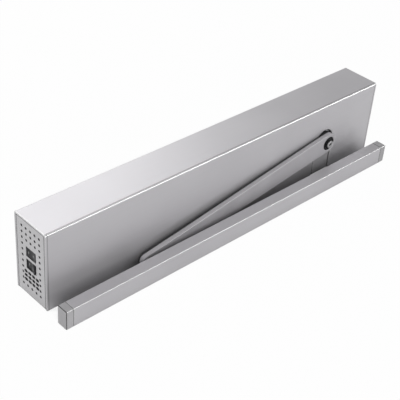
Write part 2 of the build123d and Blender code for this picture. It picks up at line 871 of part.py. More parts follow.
def gear_outline(module, teeth, first, last, phase):
    """Closed outline of involute teeth first to last about the origin, with tooth 0 at phase.

    Fewer teeth than a full turn make a sector, closed through the centre.
    """
    pitch_radius = module * teeth / 2
    base_radius = pitch_radius * cos(pressure_angle)
    tip_radius = pitch_radius + addendum_factor * module
    root_radius = pitch_radius - dedendum_factor * module
    flank_start = max(base_radius, root_radius)
    flank_middle = (flank_start + tip_radius) / 2

    def half_angle(radius):
        angle = acos(min(1.0, base_radius / radius))
        pitch_part = tan(pressure_angle) - pressure_angle
        thinning = tooth_thinning / (2 * pitch_radius)
        return pi / (2 * teeth) - thinning + pitch_part - (tan(angle) - angle)

    def point(radius, angle):
        return (radius * cos(angle), radius * sin(angle))

    full_turn = last - first + 1 == teeth
    with BuildLine(Plane.XY) as outline:
        for tooth in range(first, last + 1):
            middle = phase + 2 * pi * tooth / teeth
            for side in (-1, 1):
                radii = [flank_start, flank_middle, tip_radius][::-side]
                flank = [point(radius, middle + side * half_angle(radius)) for radius in radii]
                foot = point(root_radius, middle + side * half_angle(flank_start))
                if side < 0 and root_radius < base_radius:
                    Line(foot, flank[0])
                ThreePointArc(*flank)
                if side > 0 and root_radius < base_radius:
                    Line(flank[2], foot)
            tip_low = point(tip_radius, middle - half_angle(tip_radius))
            tip_high = point(tip_radius, middle + half_angle(tip_radius))
            ThreePointArc(tip_low, point(tip_radius, middle), tip_high)
            if full_turn or tooth < last:
                gap_end = middle + 2 * pi / teeth - half_angle(flank_start)
                gap_start = middle + half_angle(flank_start)
                ThreePointArc(
                    point(root_radius, gap_start),
                    point(root_radius, (gap_start + gap_end) / 2),
                    point(root_radius, gap_end),
                )
        if not full_turn:
            start = phase + 2 * pi * first / teeth - half_angle(flank_start)
            end = phase + 2 * pi * last / teeth + half_angle(flank_start)
            Line(point(root_radius, end), (0, 0))
            Line((0, 0), point(root_radius, start))
    return outline.line


def on_shaft(x, z, y):
    """Sketch plane seen from the arm side, with its origin on an axis across the depth."""
    return Plane(origin=(x, y, z), x_dir=(1, 0, 0), z_dir=(0, -1, 0))


# Output spindle: carries the cam and the sector gear and ends in a square for the arm
spindle_tip = arm_front + hub_recess_depth + hub_washer_thickness
with BuildPart() as output_spindle:
    with BuildSketch(on_shaft(spindle_x, spindle_height, rear_outer)):
        Circle(spindle_radius)
    extrude(amount=rear_outer - lid_front + spindle_shoulder)
    with BuildSketch(on_shaft(spindle_x, spindle_height, lid_front - spindle_shoulder)):
        RectangleRounded(spindle_square, spindle_square, spindle_square_corner)
    extrude(amount=lid_front - spindle_shoulder - spindle_tip)
    with BuildSketch(on_shaft(spindle_x, spindle_height, spindle_tip)):
        Circle(hub_screw_shank + fixed_clearance)
    extrude(amount=-hub_screw_length, mode=Mode.SUBTRACT)
    chamfer(output_spindle.edges().filter_by(GeomType.CIRCLE).sort_by(Axis.Y)[-1], spindle_chamfer)
finish(output_spindle, "output_spindle")

# Sector gear on the spindle
with BuildPart() as sector_gear:
    with BuildSketch(on_shaft(spindle_x, spindle_height, sector_back)):
        add(gear_outline(output_module, output_teeth, sector_first_tooth, sector_last_tooth, 0.0))
        make_face()
        Circle(sector_hub_radius)
        Circle(spindle_radius + fixed_clearance, mode=Mode.SUBTRACT)
    extrude(amount=sector_width)
finish(sector_gear, "sector_gear")

# Heart cam: the roller's reach grows evenly with the turn, the same both ways
cam_rise_per_radian = cam_rise / spindle_travel


def cam_point(angle):
    """Cam edge under the roller when the spindle stands at this angle from its rest."""
    reach = cam_base_reach + cam_rise_per_radian * abs(angle)
    slope = cam_rise_per_radian * (1 if angle >= 0 else -1)
    normal = Vector(reach, -slope).normalized() * (roller_radius + cam_roller_gap)
    radial, across = reach - normal.X, -normal.Y
    direction = pi + angle
    return (
        radial * cos(direction) - across * sin(direction),
        radial * sin(direction) + across * cos(direction),
    )


with BuildPart() as heart_cam:
    with BuildSketch(on_shaft(spindle_x, spindle_height, cam_thickness / 2)):
        with BuildLine():
            lower = [cam_point(cam_end * step / cam_step_count) for step in range(cam_step_count + 1)]
            upper = [(x, -z) for x, z in lower]
            Spline(*lower)
            Spline(*upper)
            ThreePointArc(upper[0], (-cam_base_reach + roller_radius + cam_roller_gap, 0), lower[0])
            ThreePointArc(upper[-1], (hypot(*lower[-1]), 0), lower[-1])
        make_face()
        Circle(spindle_radius + fixed_clearance, mode=Mode.SUBTRACT)
    extrude(amount=cam_thickness)
finish(heart_cam, "heart_cam")


def bar_outline(start, end):
    """Closed outline of two circles (x, z, radius) and their two outer tangents."""
    run = hypot(end[0] - start[0], end[1] - start[1])
    heading = atan2(end[1] - start[1], end[0] - start[0])
    lean = acos((start[2] - end[2]) / run)

    def touch(circle, angle):
        return (circle[0] + circle[2] * cos(angle), circle[1] + circle[2] * sin(angle))

    with BuildLine(Plane.XY) as outline:
        Line(touch(start, heading - lean), touch(end, heading - lean))
        ThreePointArc(touch(end, heading - lean), touch(end, heading), touch(end, heading + lean))
        Line(touch(end, heading + lean), touch(start, heading + lean))
        ThreePointArc(
            touch(start, heading + lean), touch(start, heading + pi), touch(start, heading - lean)
        )
    return outline.line


# Drive arm: a flat bar that leans away from the cover, with a hub, a square hole and a washer recess
with BuildPart() as drive_arm:
    with BuildSketch(Plane.XY):
        with BuildLine():
            middle_y = arm_back - arm_thickness / 2
            FilletPolyline(
                (spindle_x + 2 * arm_head_radius, middle_y),
                (spindle_x - arm_lean_start, middle_y),
                (elbow_x + arm_lean_stop, middle_y - arm_lean),
                (pin_x - 2 * arm_end_radius, middle_y - arm_lean),
                radius=arm_bend_radius,
            )
        trace(line_width=arm_thickness)
    extrude(amount=spindle_height + 2 * arm_head_radius)
    with BuildSketch(facing_arm(front_face)):
        arm_head = (spindle_x, spindle_height, arm_head_radius)
        arm_elbow = (elbow_x, elbow_z, arm_neck_radius)
        arm_end = (pin_x, track_pin_height, arm_end_radius)
        for bar_start, bar_end in ((arm_head, arm_elbow), (arm_elbow, arm_end)):
            add(bar_outline(bar_start, bar_end))
            make_face()
    extrude(amount=front_face - track_back, mode=Mode.INTERSECT)
    front_edges = drive_arm.faces().filter_by(lambda face: face.normal_at().Y < -0.9).edges()
    fillet(front_edges.filter_by(Axis.Z, reverse=True), arm_edge_radius)
    with BuildSketch(facing_arm(arm_back)):
        with Locations((spindle_x, spindle_height)):
            Circle(arm_hub_radius)
    extrude(amount=arm_back - lid_front + hub_gap)
    with BuildSketch(facing_arm(arm_front)):
        with Locations((spindle_x, spindle_height)):
            Circle(hub_recess_radius)
    extrude(amount=-(hub_recess_depth + hub_washer_thickness), mode=Mode.SUBTRACT)
    with BuildSketch(facing_arm(lid_front)):
        with Locations((spindle_x, spindle_height)):
            RectangleRounded(spindle_square, spindle_square, spindle_square_corner)
    extrude(amount=lid_front - arm_front, mode=Mode.SUBTRACT)
    with BuildSketch(facing_arm(arm_back)):
        with Locations((pin_x, track_pin_height)):
            Circle(block_pin_radius)
    extrude(amount=arm_back - arm_end_front, mode=Mode.SUBTRACT)
finish(drive_arm, "drive_arm")

# Dark washer and socket screw that clamp the arm to the spindle
washer_front = arm_front + hub_recess_depth
with BuildPart() as hub_washer:
    with BuildSketch(on_shaft(spindle_x, spindle_height, washer_front + hub_washer_thickness)):
        Circle(hub_recess_radius - washer_clearance)
        Circle(hub_screw_shank + fixed_clearance, mode=Mode.SUBTRACT)
    extrude(amount=hub_washer_thickness)
finish(hub_washer, "hub_washer")

with BuildPart() as hub_screw:
    with BuildSketch(on_shaft(spindle_x, spindle_height, washer_front)):
        Circle(hub_screw_radius)
    extrude(amount=hub_screw_head)
    chamfer(hub_screw.edges().group_by(Axis.Y)[0], hub_screw_chamfer)
    with BuildSketch(on_shaft(spindle_x, spindle_height, washer_front)):
        Circle(hub_screw_shank)
    extrude(amount=-(hub_screw_length + hub_washer_thickness - hub_screw_tip_gap))
    with BuildSketch(on_shaft(spindle_x, spindle_height, washer_front - hub_screw_head)):
        RegularPolygon(hub_screw_hex / 2, 6, major_radius=False)
    extrude(amount=-(hub_screw_head - hub_screw_socket_floor), mode=Mode.SUBTRACT)
finish(hub_screw, "hub_screw")

# Slide block in the track, and the riveted pin that joins it to the arm
cavity_half_height = track_pin_height - track_wall
cavity_back = track_back - track_wall
cavity_front = track_front + track_wall
block_half_height = cavity_half_height - block_play
with BuildPart() as slide_block:
    with BuildSketch(along(pin_x - block_length / 2)):
        with Locations(((cavity_back + cavity_front) / 2, track_pin_height)):
            RectangleRounded(
                cavity_back - cavity_front - 2 * block_play, 2 * block_half_height, block_corner_radius
            )
        with Locations(((track_back + cavity_back) / 2, track_pin_height)):
            Rectangle(track_wall + 4 * block_play, track_slot - 2 * block_play)
    extrude(amount=block_length)
    with BuildSketch(facing_arm(track_back + 2 * block_play)):
        with Locations((pin_x, track_pin_height)):
            Circle(block_pin_radius + running_clearance)
    extrude(amount=track_depth, mode=Mode.SUBTRACT)
    with BuildSketch(facing_arm(cavity_front + block_play)):
        for side in (-1, 1):
            with Locations((pin_x + side * block_pocket_offset, track_pin_height)):
                SlotOverall(block_pocket_length, block_pocket_width, rotation=90)
    extrude(amount=-block_pocket_width, mode=Mode.SUBTRACT)
finish(slide_block, "slide_block")

arm_end_back = arm_end_front + arm_thickness
block_face = track_back + block_play
with BuildPart() as block_pin:
    with BuildSketch(on_shaft(pin_x, track_pin_height, arm_end_back)):
        Circle(block_pin_radius - fixed_clearance)
    extrude(amount=arm_end_back - cavity_front - block_pin_end_gap)
    with BuildSketch(on_shaft(pin_x, track_pin_height, arm_end_front)):
        Circle(block_pin_head_radius)
    extrude(amount=arm_end_front - block_face - block_pin_face_gap)
    with BuildSketch(on_shaft(pin_x, track_pin_height, arm_end_back + block_pin_head_height)):
        Circle(block_pin_head_radius)
    extrude(amount=block_pin_head_height)
finish(block_pin, "block_pin")

# Guide track: an extruded channel that opens towards the arm, with capped ends
with BuildPart() as guide_track:
    with BuildSketch(along(track_left + track_cap_length)) as track_section:
        with Locations(((track_front + track_back) / 2, track_height / 2)):
            Rectangle(track_depth, track_height)
        fillet(track_section.vertices(), track_edge_radius)
        with Locations(((cavity_front + cavity_back) / 2, track_pin_height)):
            Rectangle(cavity_back - cavity_front, 2 * cavity_half_height, mode=Mode.SUBTRACT)
        with Locations((track_back - track_wall / 2, track_pin_height)):
            Rectangle(track_wall, track_slot, mode=Mode.SUBTRACT)
    extrude(amount=track_length - 2 * track_cap_length)
    with BuildSketch(Plane.XY):
        with Locations((track_mid_x, (cavity_front + cavity_back) / 2)):
            with GridLocations(track_length - 2 * (track_cap_length + track_screw_inset), 0, 2, 1):
                Circle(track_screw_radius)
    extrude(amount=track_wall, mode=Mode.SUBTRACT)
finish(guide_track, "guide_track")

for cap_name, cap_x, inward in (("track_cap_left", track_left, 1), ("track_cap_right", track_right, -1)):
    with BuildPart() as track_cap:
        with BuildSketch(along(cap_x)) as cap_section:
            with Locations(((track_front + track_back) / 2, track_height / 2)):
                Rectangle(track_depth, track_height)
            fillet(cap_section.vertices(), track_edge_radius)
        extrude(amount=inward * track_cap_length)
        chamfer(track_cap.faces().filter_by(Axis.X).edges(), track_cap_chamfer)
        with BuildSketch(along(cap_x + inward * track_cap_length)):
            with Locations(((cavity_front + cavity_back) / 2, track_pin_height)):
                Rectangle(
                    cavity_back - cavity_front - 2 * block_play,
                    2 * (cavity_half_height - block_play),
                )
                Rectangle(
                    cavity_back - cavity_front - 2 * track_wall,
                    2 * (cavity_half_height - track_wall),
                    mode=Mode.SUBTRACT,
                )
        extrude(amount=inward * track_cap_tongue)
    finish(track_cap, cap_name)

# Rubber buffer that stops the slide block at the open end of its travel
buffer_x = track_left + track_cap_length + track_cap_tongue
with BuildPart() as track_buffer:
    with BuildSketch(along(buffer_x)):
        with Locations(((cavity_front + cavity_back) / 2, track_pin_height)):
            RectangleRounded(
                cavity_back - cavity_front - 2 * block_play,
                2 * (cavity_half_height - block_play),
                buffer_corner_radius,
            )
    extrude(amount=buffer_length)
    fillet(track_buffer.faces().sort_by(Axis.X)[-1].edges(), buffer_edge_radius)
finish(track_buffer, "track_buffer")

# Reduction gear: a wheel and a pinion on one shaft
pinion_front = sector_front - pinion_overhang
pinion_back = sector_back + pinion_overhang
with BuildPart() as gear_shaft:
    with BuildSketch(on_shaft(gear_shaft_x, spindle_height, rear_outer - gear_shaft_end_gap)):
        Circle(gear_shaft_radius)
    extrude(amount=rear_outer - lid_front - 2 * gear_shaft_end_gap)
    with BuildSketch(on_shaft(gear_shaft_x, spindle_height, pinion_back)):
        add(gear_outline(output_module, pinion_teeth, 0, pinion_teeth - 1, pi / pinion_teeth))
        make_face()
    extrude(amount=pinion_back - pinion_front)
finish(gear_shaft, "gear_shaft")

with BuildPart() as reduction_wheel:
    with BuildSketch(on_shaft(gear_shaft_x, spindle_height, wheel_back)):
        add(gear_outline(motor_module, wheel_teeth, 0, wheel_teeth - 1, motor_angle))
        make_face()
        Circle(gear_shaft_radius + fixed_clearance, mode=Mode.SUBTRACT)
        with PolarLocations(wheel_hole_offset, wheel_hole_count):
            Circle(wheel_hole_radius, mode=Mode.SUBTRACT)
    extrude(amount=wheel_width)
    with BuildSketch(on_shaft(gear_shaft_x, spindle_height, wheel_front)):
        Circle(gear_shaft_radius + wheel_hub_wall)
        Circle(gear_shaft_radius + fixed_clearance, mode=Mode.SUBTRACT)
    extrude(amount=motor_layer_gap)
finish(reduction_wheel, "reduction_wheel")

# Motor: a drawn can with an end plate, magnets, and a rotor with its pinion and encoder disc
with BuildPart() as motor_can:
    with BuildSketch(on_shaft(motor_x, motor_z, motor_front - motor_wall)):
        Circle(motor_radius)
    extrude(amount=motor_front - motor_wall - lid_back)
    fillet(motor_can.edges().group_by(Axis.Y)[0], motor_edge_radius)
    with BuildSketch(on_shaft(motor_x, motor_z, motor_front - motor_wall)):
        Circle(motor_radius - motor_wall)
    extrude(amount=motor_front - lid_back - 2 * motor_wall, mode=Mode.SUBTRACT)
    with BuildSketch(on_shaft(motor_x, motor_z, lid_back + motor_wall)):
        Circle(motor_shaft_radius + running_clearance)
    extrude(amount=motor_wall, mode=Mode.SUBTRACT)
    with BuildSketch(facing_arm(lid_back)):
        with Locations(*motor_screws_at):
            Circle(tapped_hole_radius)
    extrude(amount=-motor_wall, mode=Mode.SUBTRACT)
finish(motor_can, "motor_can")

with BuildPart() as motor_end_plate:
    with BuildSketch(on_shaft(motor_x, motor_z, motor_front)):
        Circle(motor_radius)
        Circle(motor_shaft_radius + running_clearance, mode=Mode.SUBTRACT)
        with PolarLocations(motor_vent_offset, motor_vent_count):
            Circle(motor_vent_radius, mode=Mode.SUBTRACT)
    extrude(amount=motor_wall)
finish(motor_end_plate, "motor_end_plate")

magnet_inner = motor_radius - motor_wall - magnet_thickness
with BuildPart() as motor_magnets:
    with BuildSketch(on_shaft(motor_x, motor_z, motor_front - 2 * motor_wall)):
        Circle(motor_radius - motor_wall - fixed_clearance)
        Circle(magnet_inner, mode=Mode.SUBTRACT)
        with PolarLocations(motor_radius - motor_wall, magnet_count, start_angle=180 / magnet_count):
            Rectangle(magnet_gap_length, magnet_gap_width, mode=Mode.SUBTRACT)
    extrude(amount=motor_front - lid_back - 4 * motor_wall)
finish(motor_magnets, "motor_magnets")

with BuildPart() as rotor_core:
    with BuildSketch(on_shaft(motor_x, motor_z, motor_front - 2 * motor_wall)):
        Circle(magnet_inner - rotor_air_gap)
        Circle(motor_shaft_radius + fixed_clearance, mode=Mode.SUBTRACT)
        with PolarLocations(magnet_inner - rotor_air_gap, rotor_slot_count):
            SlotOverall(rotor_slot_length, rotor_slot_width, mode=Mode.SUBTRACT)
    extrude(amount=motor_front - lid_back - 4 * motor_wall)
finish(rotor_core, "rotor_core")

motor_pinion_back = wheel_back + tooth_side_gap
motor_pinion_phase = motor_angle + pi + pi / pinion_teeth
with BuildPart() as rotor_shaft:
    with BuildSketch(on_shaft(motor_x, motor_z, encoder_back + pinion_overhang)):
        Circle(motor_shaft_radius)
    extrude(amount=encoder_back - lid_back)
    with BuildSketch(on_shaft(motor_x, motor_z, motor_pinion_back)):
        add(gear_outline(motor_module, pinion_teeth, 0, pinion_teeth - 1, motor_pinion_phase))
        make_face()
    extrude(amount=wheel_width + 2 * tooth_side_gap)
finish(rotor_shaft, "rotor_shaft")

with BuildPart() as encoder_disc:
    with BuildSketch(on_shaft(motor_x, motor_z, encoder_back)):
        Circle(encoder_radius)
        Circle(motor_shaft_radius + fixed_clearance, mode=Mode.SUBTRACT)
        with PolarLocations(encoder_radius - encoder_slot_inset, encoder_slot_count):
            Rectangle(encoder_slot_length, encoder_slot_width, mode=Mode.SUBTRACT)
    extrude(amount=encoder_thickness)
finish(encoder_disc, "encoder_disc")

with BuildPart() as encoder_board:
    with BuildSketch(
        on_shaft(motor_x, motor_z, encoder_back + encoder_board_gap + encoder_board_thickness)
    ):
        RectangleRounded(encoder_board_width, encoder_board_height, board_corner_radius)
    extrude(amount=encoder_board_thickness)
finish(encoder_board, "encoder_board")

# Spring plunger: a fork for the cam roller, a guided collar and a rod inside the spring
with BuildPart() as spring_plunger:
    with BuildSketch(along(collar_back)):
        with Locations((0, spindle_height)):
            Circle(collar_radius)
    extrude(amount=collar_thickness)
    with BuildSketch(along(collar_back)):
        with Locations((0, spindle_height)):
            Circle(plunger_rod_radius)
    extrude(amount=-plunger_rod_length)
    with BuildSketch(facing_arm(fork_half_width)):
        with Locations(((collar_front + roller_x) / 2, spindle_height)):
            Rectangle(fork_length, 2 * fork_half_height)
        with Locations((roller_x, spindle_height)):
            Circle(fork_nose_radius)
    extrude(amount=2 * fork_half_width)
    with BuildSketch(facing_arm(cam_thickness / 2 + fork_clearance)):
        with Locations((roller_x, spindle_height)):
            Rectangle(2 * fork_slot_depth, 2 * fork_half_height)
    extrude(amount=cam_thickness + 2 * fork_clearance, mode=Mode.SUBTRACT)
    with BuildSketch(facing_arm(fork_half_width)):
        with Locations((roller_x, spindle_height)):
            Circle(roller_pin_radius + fixed_clearance)
    extrude(amount=2 * fork_half_width, mode=Mode.SUBTRACT)
finish(spring_plunger, "spring_plunger")

with BuildPart() as roller_pin:
    with BuildSketch(on_shaft(roller_x, spindle_height, fork_half_width)):
        Circle(roller_pin_radius)
    extrude(amount=2 * fork_half_width)
finish(roller_pin, "roller_pin")

with BuildPart() as cam_roller:
    with BuildSketch(on_shaft(roller_x, spindle_height, roller_width / 2)):
        Circle(roller_radius)
        Circle(roller_pin_radius + running_clearance, mode=Mode.SUBTRACT)
    extrude(amount=roller_width)
finish(cam_roller, "cam_roller")

# Closing spring of rectangular wire, standing between the seat and the collar
coil_radius = spring_outer_radius - spring_wire_radial / 2
coil_rise = spring_length - spring_wire_axial - 2 * spring_end_gap
with BuildPart() as closing_spring:
    coil_start = (spring_seat_x + (spring_length - coil_rise) / 2, 0, spindle_height)
    with BuildLine() as coil:
        Helix(coil_rise / spring_turns, coil_rise, coil_radius, center=coil_start, direction=(1, 0, 0))
    coil_radial = coil.line @ 0 - Vector(*coil_start)
    with BuildSketch(Plane(origin=coil.line @ 0, x_dir=coil_radial, z_dir=coil.line % 0)):
        Rectangle(spring_wire_radial, spring_wire_axial)
    sweep(is_frenet=True)
finish(closing_spring, "closing_spring")

with BuildPart() as spring_seat:
    with BuildSketch(along(spring_seat_x - spring_seat_thickness)):
        with Locations((0, spindle_height)):
            Circle(collar_radius)
    extrude(amount=spring_seat_thickness)
    with BuildSketch(along(spring_seat_x)):
        with Locations((0, spindle_height)):
            Circle(spring_outer_radius - spring_wire_radial - spring_spigot_clearance)
    extrude(amount=spring_spigot_length)
finish(spring_seat, "spring_seat")

# Spring tube with its flange on the housing and an end wall for the adjusting screw
with BuildPart() as spring_tube:
    with BuildSketch(along(tube_end_x)):
        with Locations((0, spindle_height)):
            Circle(tube_radius)
    extrude(amount=housing_left - tube_end_x)
    with BuildSketch(along(housing_left)):
        with Locations((0, spindle_height)):
            RectangleRounded(tube_flange_size, tube_flange_size, tube_flange_corner)
        with Locations(*flange_screws):
            Circle(tapped_hole_radius, mode=Mode.SUBTRACT)
    extrude(amount=-tube_flange_thickness)
    with BuildSketch(along(housing_left)):
        with Locations((0, spindle_height)):
            Circle(tube_bore_radius)
    extrude(amount=-(housing_left - tube_end_x - tube_end_wall), mode=Mode.SUBTRACT)
    with BuildSketch(along(tube_end_x)):
        with Locations((0, spindle_height)):
            Circle(adjuster_radius + fixed_clearance)
    extrude(amount=tube_end_wall, mode=Mode.SUBTRACT)
finish(spring_tube, "spring_tube")

with BuildPart() as spring_adjuster:
    with BuildSketch(along(tube_end_x - adjuster_head_length)):
        with Locations((0, spindle_height)):
            RegularPolygon(adjuster_hex / 2, 6, major_radius=False)
    extrude(amount=adjuster_head_length)
    with BuildSketch(along(tube_end_x)):
        with Locations((0, spindle_height)):
            Circle(adjuster_radius)
    extrude(amount=tube_end_wall + adjuster_gap)
finish(spring_adjuster, "spring_adjuster")

# Saddle that carries the free end of the spring tube on the mounting plate
with BuildPart() as tube_saddle:
    with BuildSketch(along(saddle_x - saddle_width / 2)):
        with Locations((0, plate_thickness + saddle_foot_thickness / 2)):
            Rectangle(2 * (saddle_half_width + saddle_foot), saddle_foot_thickness)
        with Locations((0, (plate_thickness + spindle_height) / 2)):
            Rectangle(2 * saddle_half_width, spindle_height - plate_thickness)
        with Locations((0, spindle_height)):
            Circle(tube_radius + saddle_clearance, mode=Mode.SUBTRACT)
    extrude(amount=saddle_width)
    with BuildSketch(Plane.XY.offset(plate_thickness)):
        with Locations(*saddle_feet):
            Circle(tapped_hole_radius)
    extrude(amount=saddle_foot_thickness, mode=Mode.SUBTRACT)
finish(tube_saddle, "tube_saddle")

# Power supply: a slotted sheet-metal case over a board with a transformer and capacitors
supply_board_level = plate_thickness + supply_board_standoff
with BuildPart() as supply_case:
    with BuildSketch(Plane.XY.offset(plate_thickness)):
        with Locations((supply_mid_x, 0)):
            Rectangle(supply_right - supply_left, 2 * supply_half_width)
    extrude(amount=supply_height)
    fillet(supply_case.edges().filter_by(Axis.Z), supply_corner_radius)
    offset(amount=-supply_wall, openings=supply_case.faces().sort_by(Axis.Z)[0])
    with BuildSketch(Plane.XY.offset(plate_thickness)):
        with Locations(*supply_feet):
            RectangleRounded(supply_tab, supply_tab_width, supply_corner_radius)
            Circle(tapped_hole_radius, mode=Mode.SUBTRACT)
    extrude(amount=supply_wall)
    with BuildSketch(Plane.XY.offset(plate_thickness + supply_height - supply_wall)):
        with Locations((supply_mid_x, 0)):
            with GridLocations(supply_slot_pitch, 0, supply_slot_count, 1):
                SlotOverall(supply_slot_length, supply_slot_width, rotation=90)
    extrude(amount=supply_wall, mode=Mode.SUBTRACT)
finish(supply_case, "supply_case")

board_inset = supply_wall + supply_board_gap
with BuildPart() as supply_board:
    with BuildSketch(Plane.XY.offset(supply_board_level)):
        with Locations((supply_mid_x, 0)):
            Rectangle(supply_right - supply_left - 2 * board_inset, 2 * (supply_half_width - board_inset))
    extrude(amount=board_thickness)
    with BuildSketch(Plane.XY.offset(plate_thickness)):
        with Locations((supply_mid_x, 0)):
            with GridLocations(
                supply_length - 2 * supply_post_inset, 2 * (supply_half_width - supply_post_inset), 2, 2
            ):
                Circle(supply_post_radius)
    extrude(amount=supply_board_level - plate_thickness)
finish(supply_board, "supply_board")

supply_top = supply_board_level + board_thickness
transformer_x = supply_left + transformer_inset
with BuildPart() as transformer:
    with BuildSketch(Plane.XY.offset(supply_top)):
        with Locations((transformer_x, 0)):
            Rectangle(transformer_length, transformer_depth)
    extrude(amount=transformer_height)
    with BuildSketch(Plane.XY.offset(supply_top + (transformer_height - winding_height) / 2)):
        with Locations((transformer_x, 0)):
            RectangleRounded(transformer_length + 2 * winding_overhang, winding_depth, winding_overhang)
    extrude(amount=winding_height)
    chamfer(transformer.edges().group_by(Axis.Z)[-1], transformer_chamfer)
finish(transformer, "transformer")

near_capacitor_x = supply_right - capacitor_inset
far_capacitor_x = near_capacitor_x - capacitor_spacing
capacitor_places = [
    (far_capacitor_x, -capacitor_spacing / 2),
    (far_capacitor_x, capacitor_spacing / 2),
    (near_capacitor_x, 0),
]
with BuildPart() as capacitors:
    with BuildSketch(Plane.XY.offset(supply_top)):
        with Locations(*capacitor_places):
            Circle(capacitor_radius)
    extrude(amount=capacitor_height)
    fillet(capacitors.edges().group_by(Axis.Z)[-1], capacitor_edge_radius)
finish(capacitors, "capacitors")

# Control unit: a moulded tray with a board, terminal blocks and relays
terminal_count = max(1, int((tray_length - 2 * tray_post_inset) / terminal_pitch))
tray_floor = plate_thickness + tray_wall
board_level = plate_thickness + tray_height - board_drop
with BuildPart() as control_tray:
    with BuildSketch(Plane.XY.offset(plate_thickness)):
        with Locations((tray_mid_x, 0)):
            RectangleRounded(tray_length, 2 * tray_half_width, tray_corner_radius)
    extrude(amount=tray_height)
    with BuildSketch(Plane.XY.offset(tray_floor)):
        with Locations((tray_mid_x, 0)):
            RectangleRounded(
                tray_length - 2 * tray_wall,
                2 * (tray_half_width - tray_wall),
                tray_corner_radius - tray_wall,
            )
    extrude(amount=tray_height, mode=Mode.SUBTRACT)
    with BuildSketch(Plane.XY.offset(plate_thickness)):
        with Locations((tray_mid_x, 0)):
            with GridLocations(
                tray_length - 2 * tray_post_inset, 2 * (tray_half_width - tray_post_inset), 2, 2
            ):
                Circle(tray_post_radius)
    extrude(amount=board_level - plate_thickness)
    with BuildSketch(Plane.XY.offset(plate_thickness)):
        with Locations(*tray_feet):
            Circle(tapped_hole_radius)
    extrude(amount=tray_wall, mode=Mode.SUBTRACT)
    with BuildSketch(facing_arm(-tray_half_width)):
        with Locations((tray_mid_x, plate_thickness + tray_height)):
            with GridLocations(terminal_pitch, 0, terminal_count, 1):
                Rectangle(tray_window_width, 2 * tray_window_height)
    extrude(amount=-tray_wall, mode=Mode.SUBTRACT)
finish(control_tray, "control_tray")

with BuildPart() as control_board:
    with BuildSketch(Plane.XY.offset(board_level)):
        with Locations((tray_mid_x, 0)):
            RectangleRounded(
                tray_length - 2 * (tray_wall + board_clearance),
                2 * (tray_half_width - tray_wall - board_clearance),
                board_corner_radius,
            )
    extrude(amount=board_thickness)
finish(control_board, "control_board")

board_top = board_level + board_thickness
terminal_y = -(tray_half_width - tray_wall - terminal_inset - terminal_depth / 2)
with BuildPart() as terminal_blocks:
    with BuildSketch(Plane.XY.offset(board_top)):
        with Locations((tray_mid_x, terminal_y)):
            with GridLocations(terminal_pitch, 0, terminal_count, 1):
                Rectangle(terminal_length, terminal_depth)
    extrude(amount=terminal_height)
    with BuildSketch(facing_arm(terminal_y - terminal_depth / 2)):
        with Locations((tray_mid_x, board_top + terminal_way_level)):
            with GridLocations(terminal_pitch, 0, terminal_count, 1):
                with GridLocations(terminal_way_pitch, 0, terminal_way_count, 1):
                    Rectangle(terminal_way_width, terminal_way_height)
    extrude(amount=-terminal_way_depth, mode=Mode.SUBTRACT)
finish(terminal_blocks, "terminal_blocks")

relay_y = tray_half_width - relay_inset - relay_depth / 2
first_relay_x = tray_left + relay_pitch
relay_count = max(1, int((tray_length - processor_inset - processor_size - relay_pitch) / relay_pitch))
with BuildPart() as relays:
    with BuildSketch(Plane.XY.offset(board_top)):
        with Locations(*[(first_relay_x + relay * relay_pitch, relay_y) for relay in range(relay_count)]):
            Rectangle(relay_length, relay_depth)
    extrude(amount=relay_height)
    chamfer(relays.edges().group_by(Axis.Z)[-1], relay_chamfer)
finish(relays, "relays")

with BuildPart() as processor:
    with BuildSketch(Plane.XY.offset(board_top)):
        with Locations((tray_right - processor_inset - processor_size / 2, relay_y)):
            Rectangle(processor_size, processor_size)
    extrude(amount=processor_thickness)
finish(processor, "processor")

# Screws on the mounting plate: the end cap screws, and those of the pieces inside
plate_screw_grip = plate_thickness - plate_screw_end_gap
cap_screws = screws(
    cap_feet,
    Plane.XY.offset(plate_thickness + end_cap_foot_thickness),
    end_cap_foot_thickness + plate_screw_grip,
)
finish(cap_screws, "cap_screws")

held_pieces = (
    (drive_feet, housing_foot + housing_wall),
    (tray_feet, tray_wall),
    (supply_feet, supply_wall),
    (saddle_feet, saddle_foot_thickness),
)
with BuildPart() as plate_screws:
    for feet, thickness in held_pieces:
        add(screws(feet, Plane.XY.offset(plate_thickness + thickness), thickness + plate_screw_grip).part)
finish(plate_screws, "plate_screws")

tube_screws = screws(
    flange_screws,
    Plane(origin=(housing_left - tube_flange_thickness, 0, 0), x_dir=(0, -1, 0), z_dir=(-1, 0, 0)),
    tube_flange_thickness + housing_wall - plate_screw_end_gap,
)
finish(tube_screws, "tube_screws")
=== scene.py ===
from math import asin, cos, pi, radians, sin

import bpy
from mathutils import Matrix, Vector


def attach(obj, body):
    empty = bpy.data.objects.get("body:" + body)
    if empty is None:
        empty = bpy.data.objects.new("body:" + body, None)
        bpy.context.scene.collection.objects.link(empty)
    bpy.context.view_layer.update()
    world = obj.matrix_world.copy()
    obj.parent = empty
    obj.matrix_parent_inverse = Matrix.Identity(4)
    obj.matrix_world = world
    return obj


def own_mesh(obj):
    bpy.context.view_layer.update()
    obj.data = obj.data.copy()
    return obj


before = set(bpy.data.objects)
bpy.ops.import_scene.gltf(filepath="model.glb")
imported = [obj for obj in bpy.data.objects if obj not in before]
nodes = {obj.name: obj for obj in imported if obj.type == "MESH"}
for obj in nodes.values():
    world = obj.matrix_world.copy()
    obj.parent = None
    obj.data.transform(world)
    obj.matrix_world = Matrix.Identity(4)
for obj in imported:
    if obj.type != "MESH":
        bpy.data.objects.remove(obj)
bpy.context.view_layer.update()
bpy.ops.object.select_all(action="DESELECT")

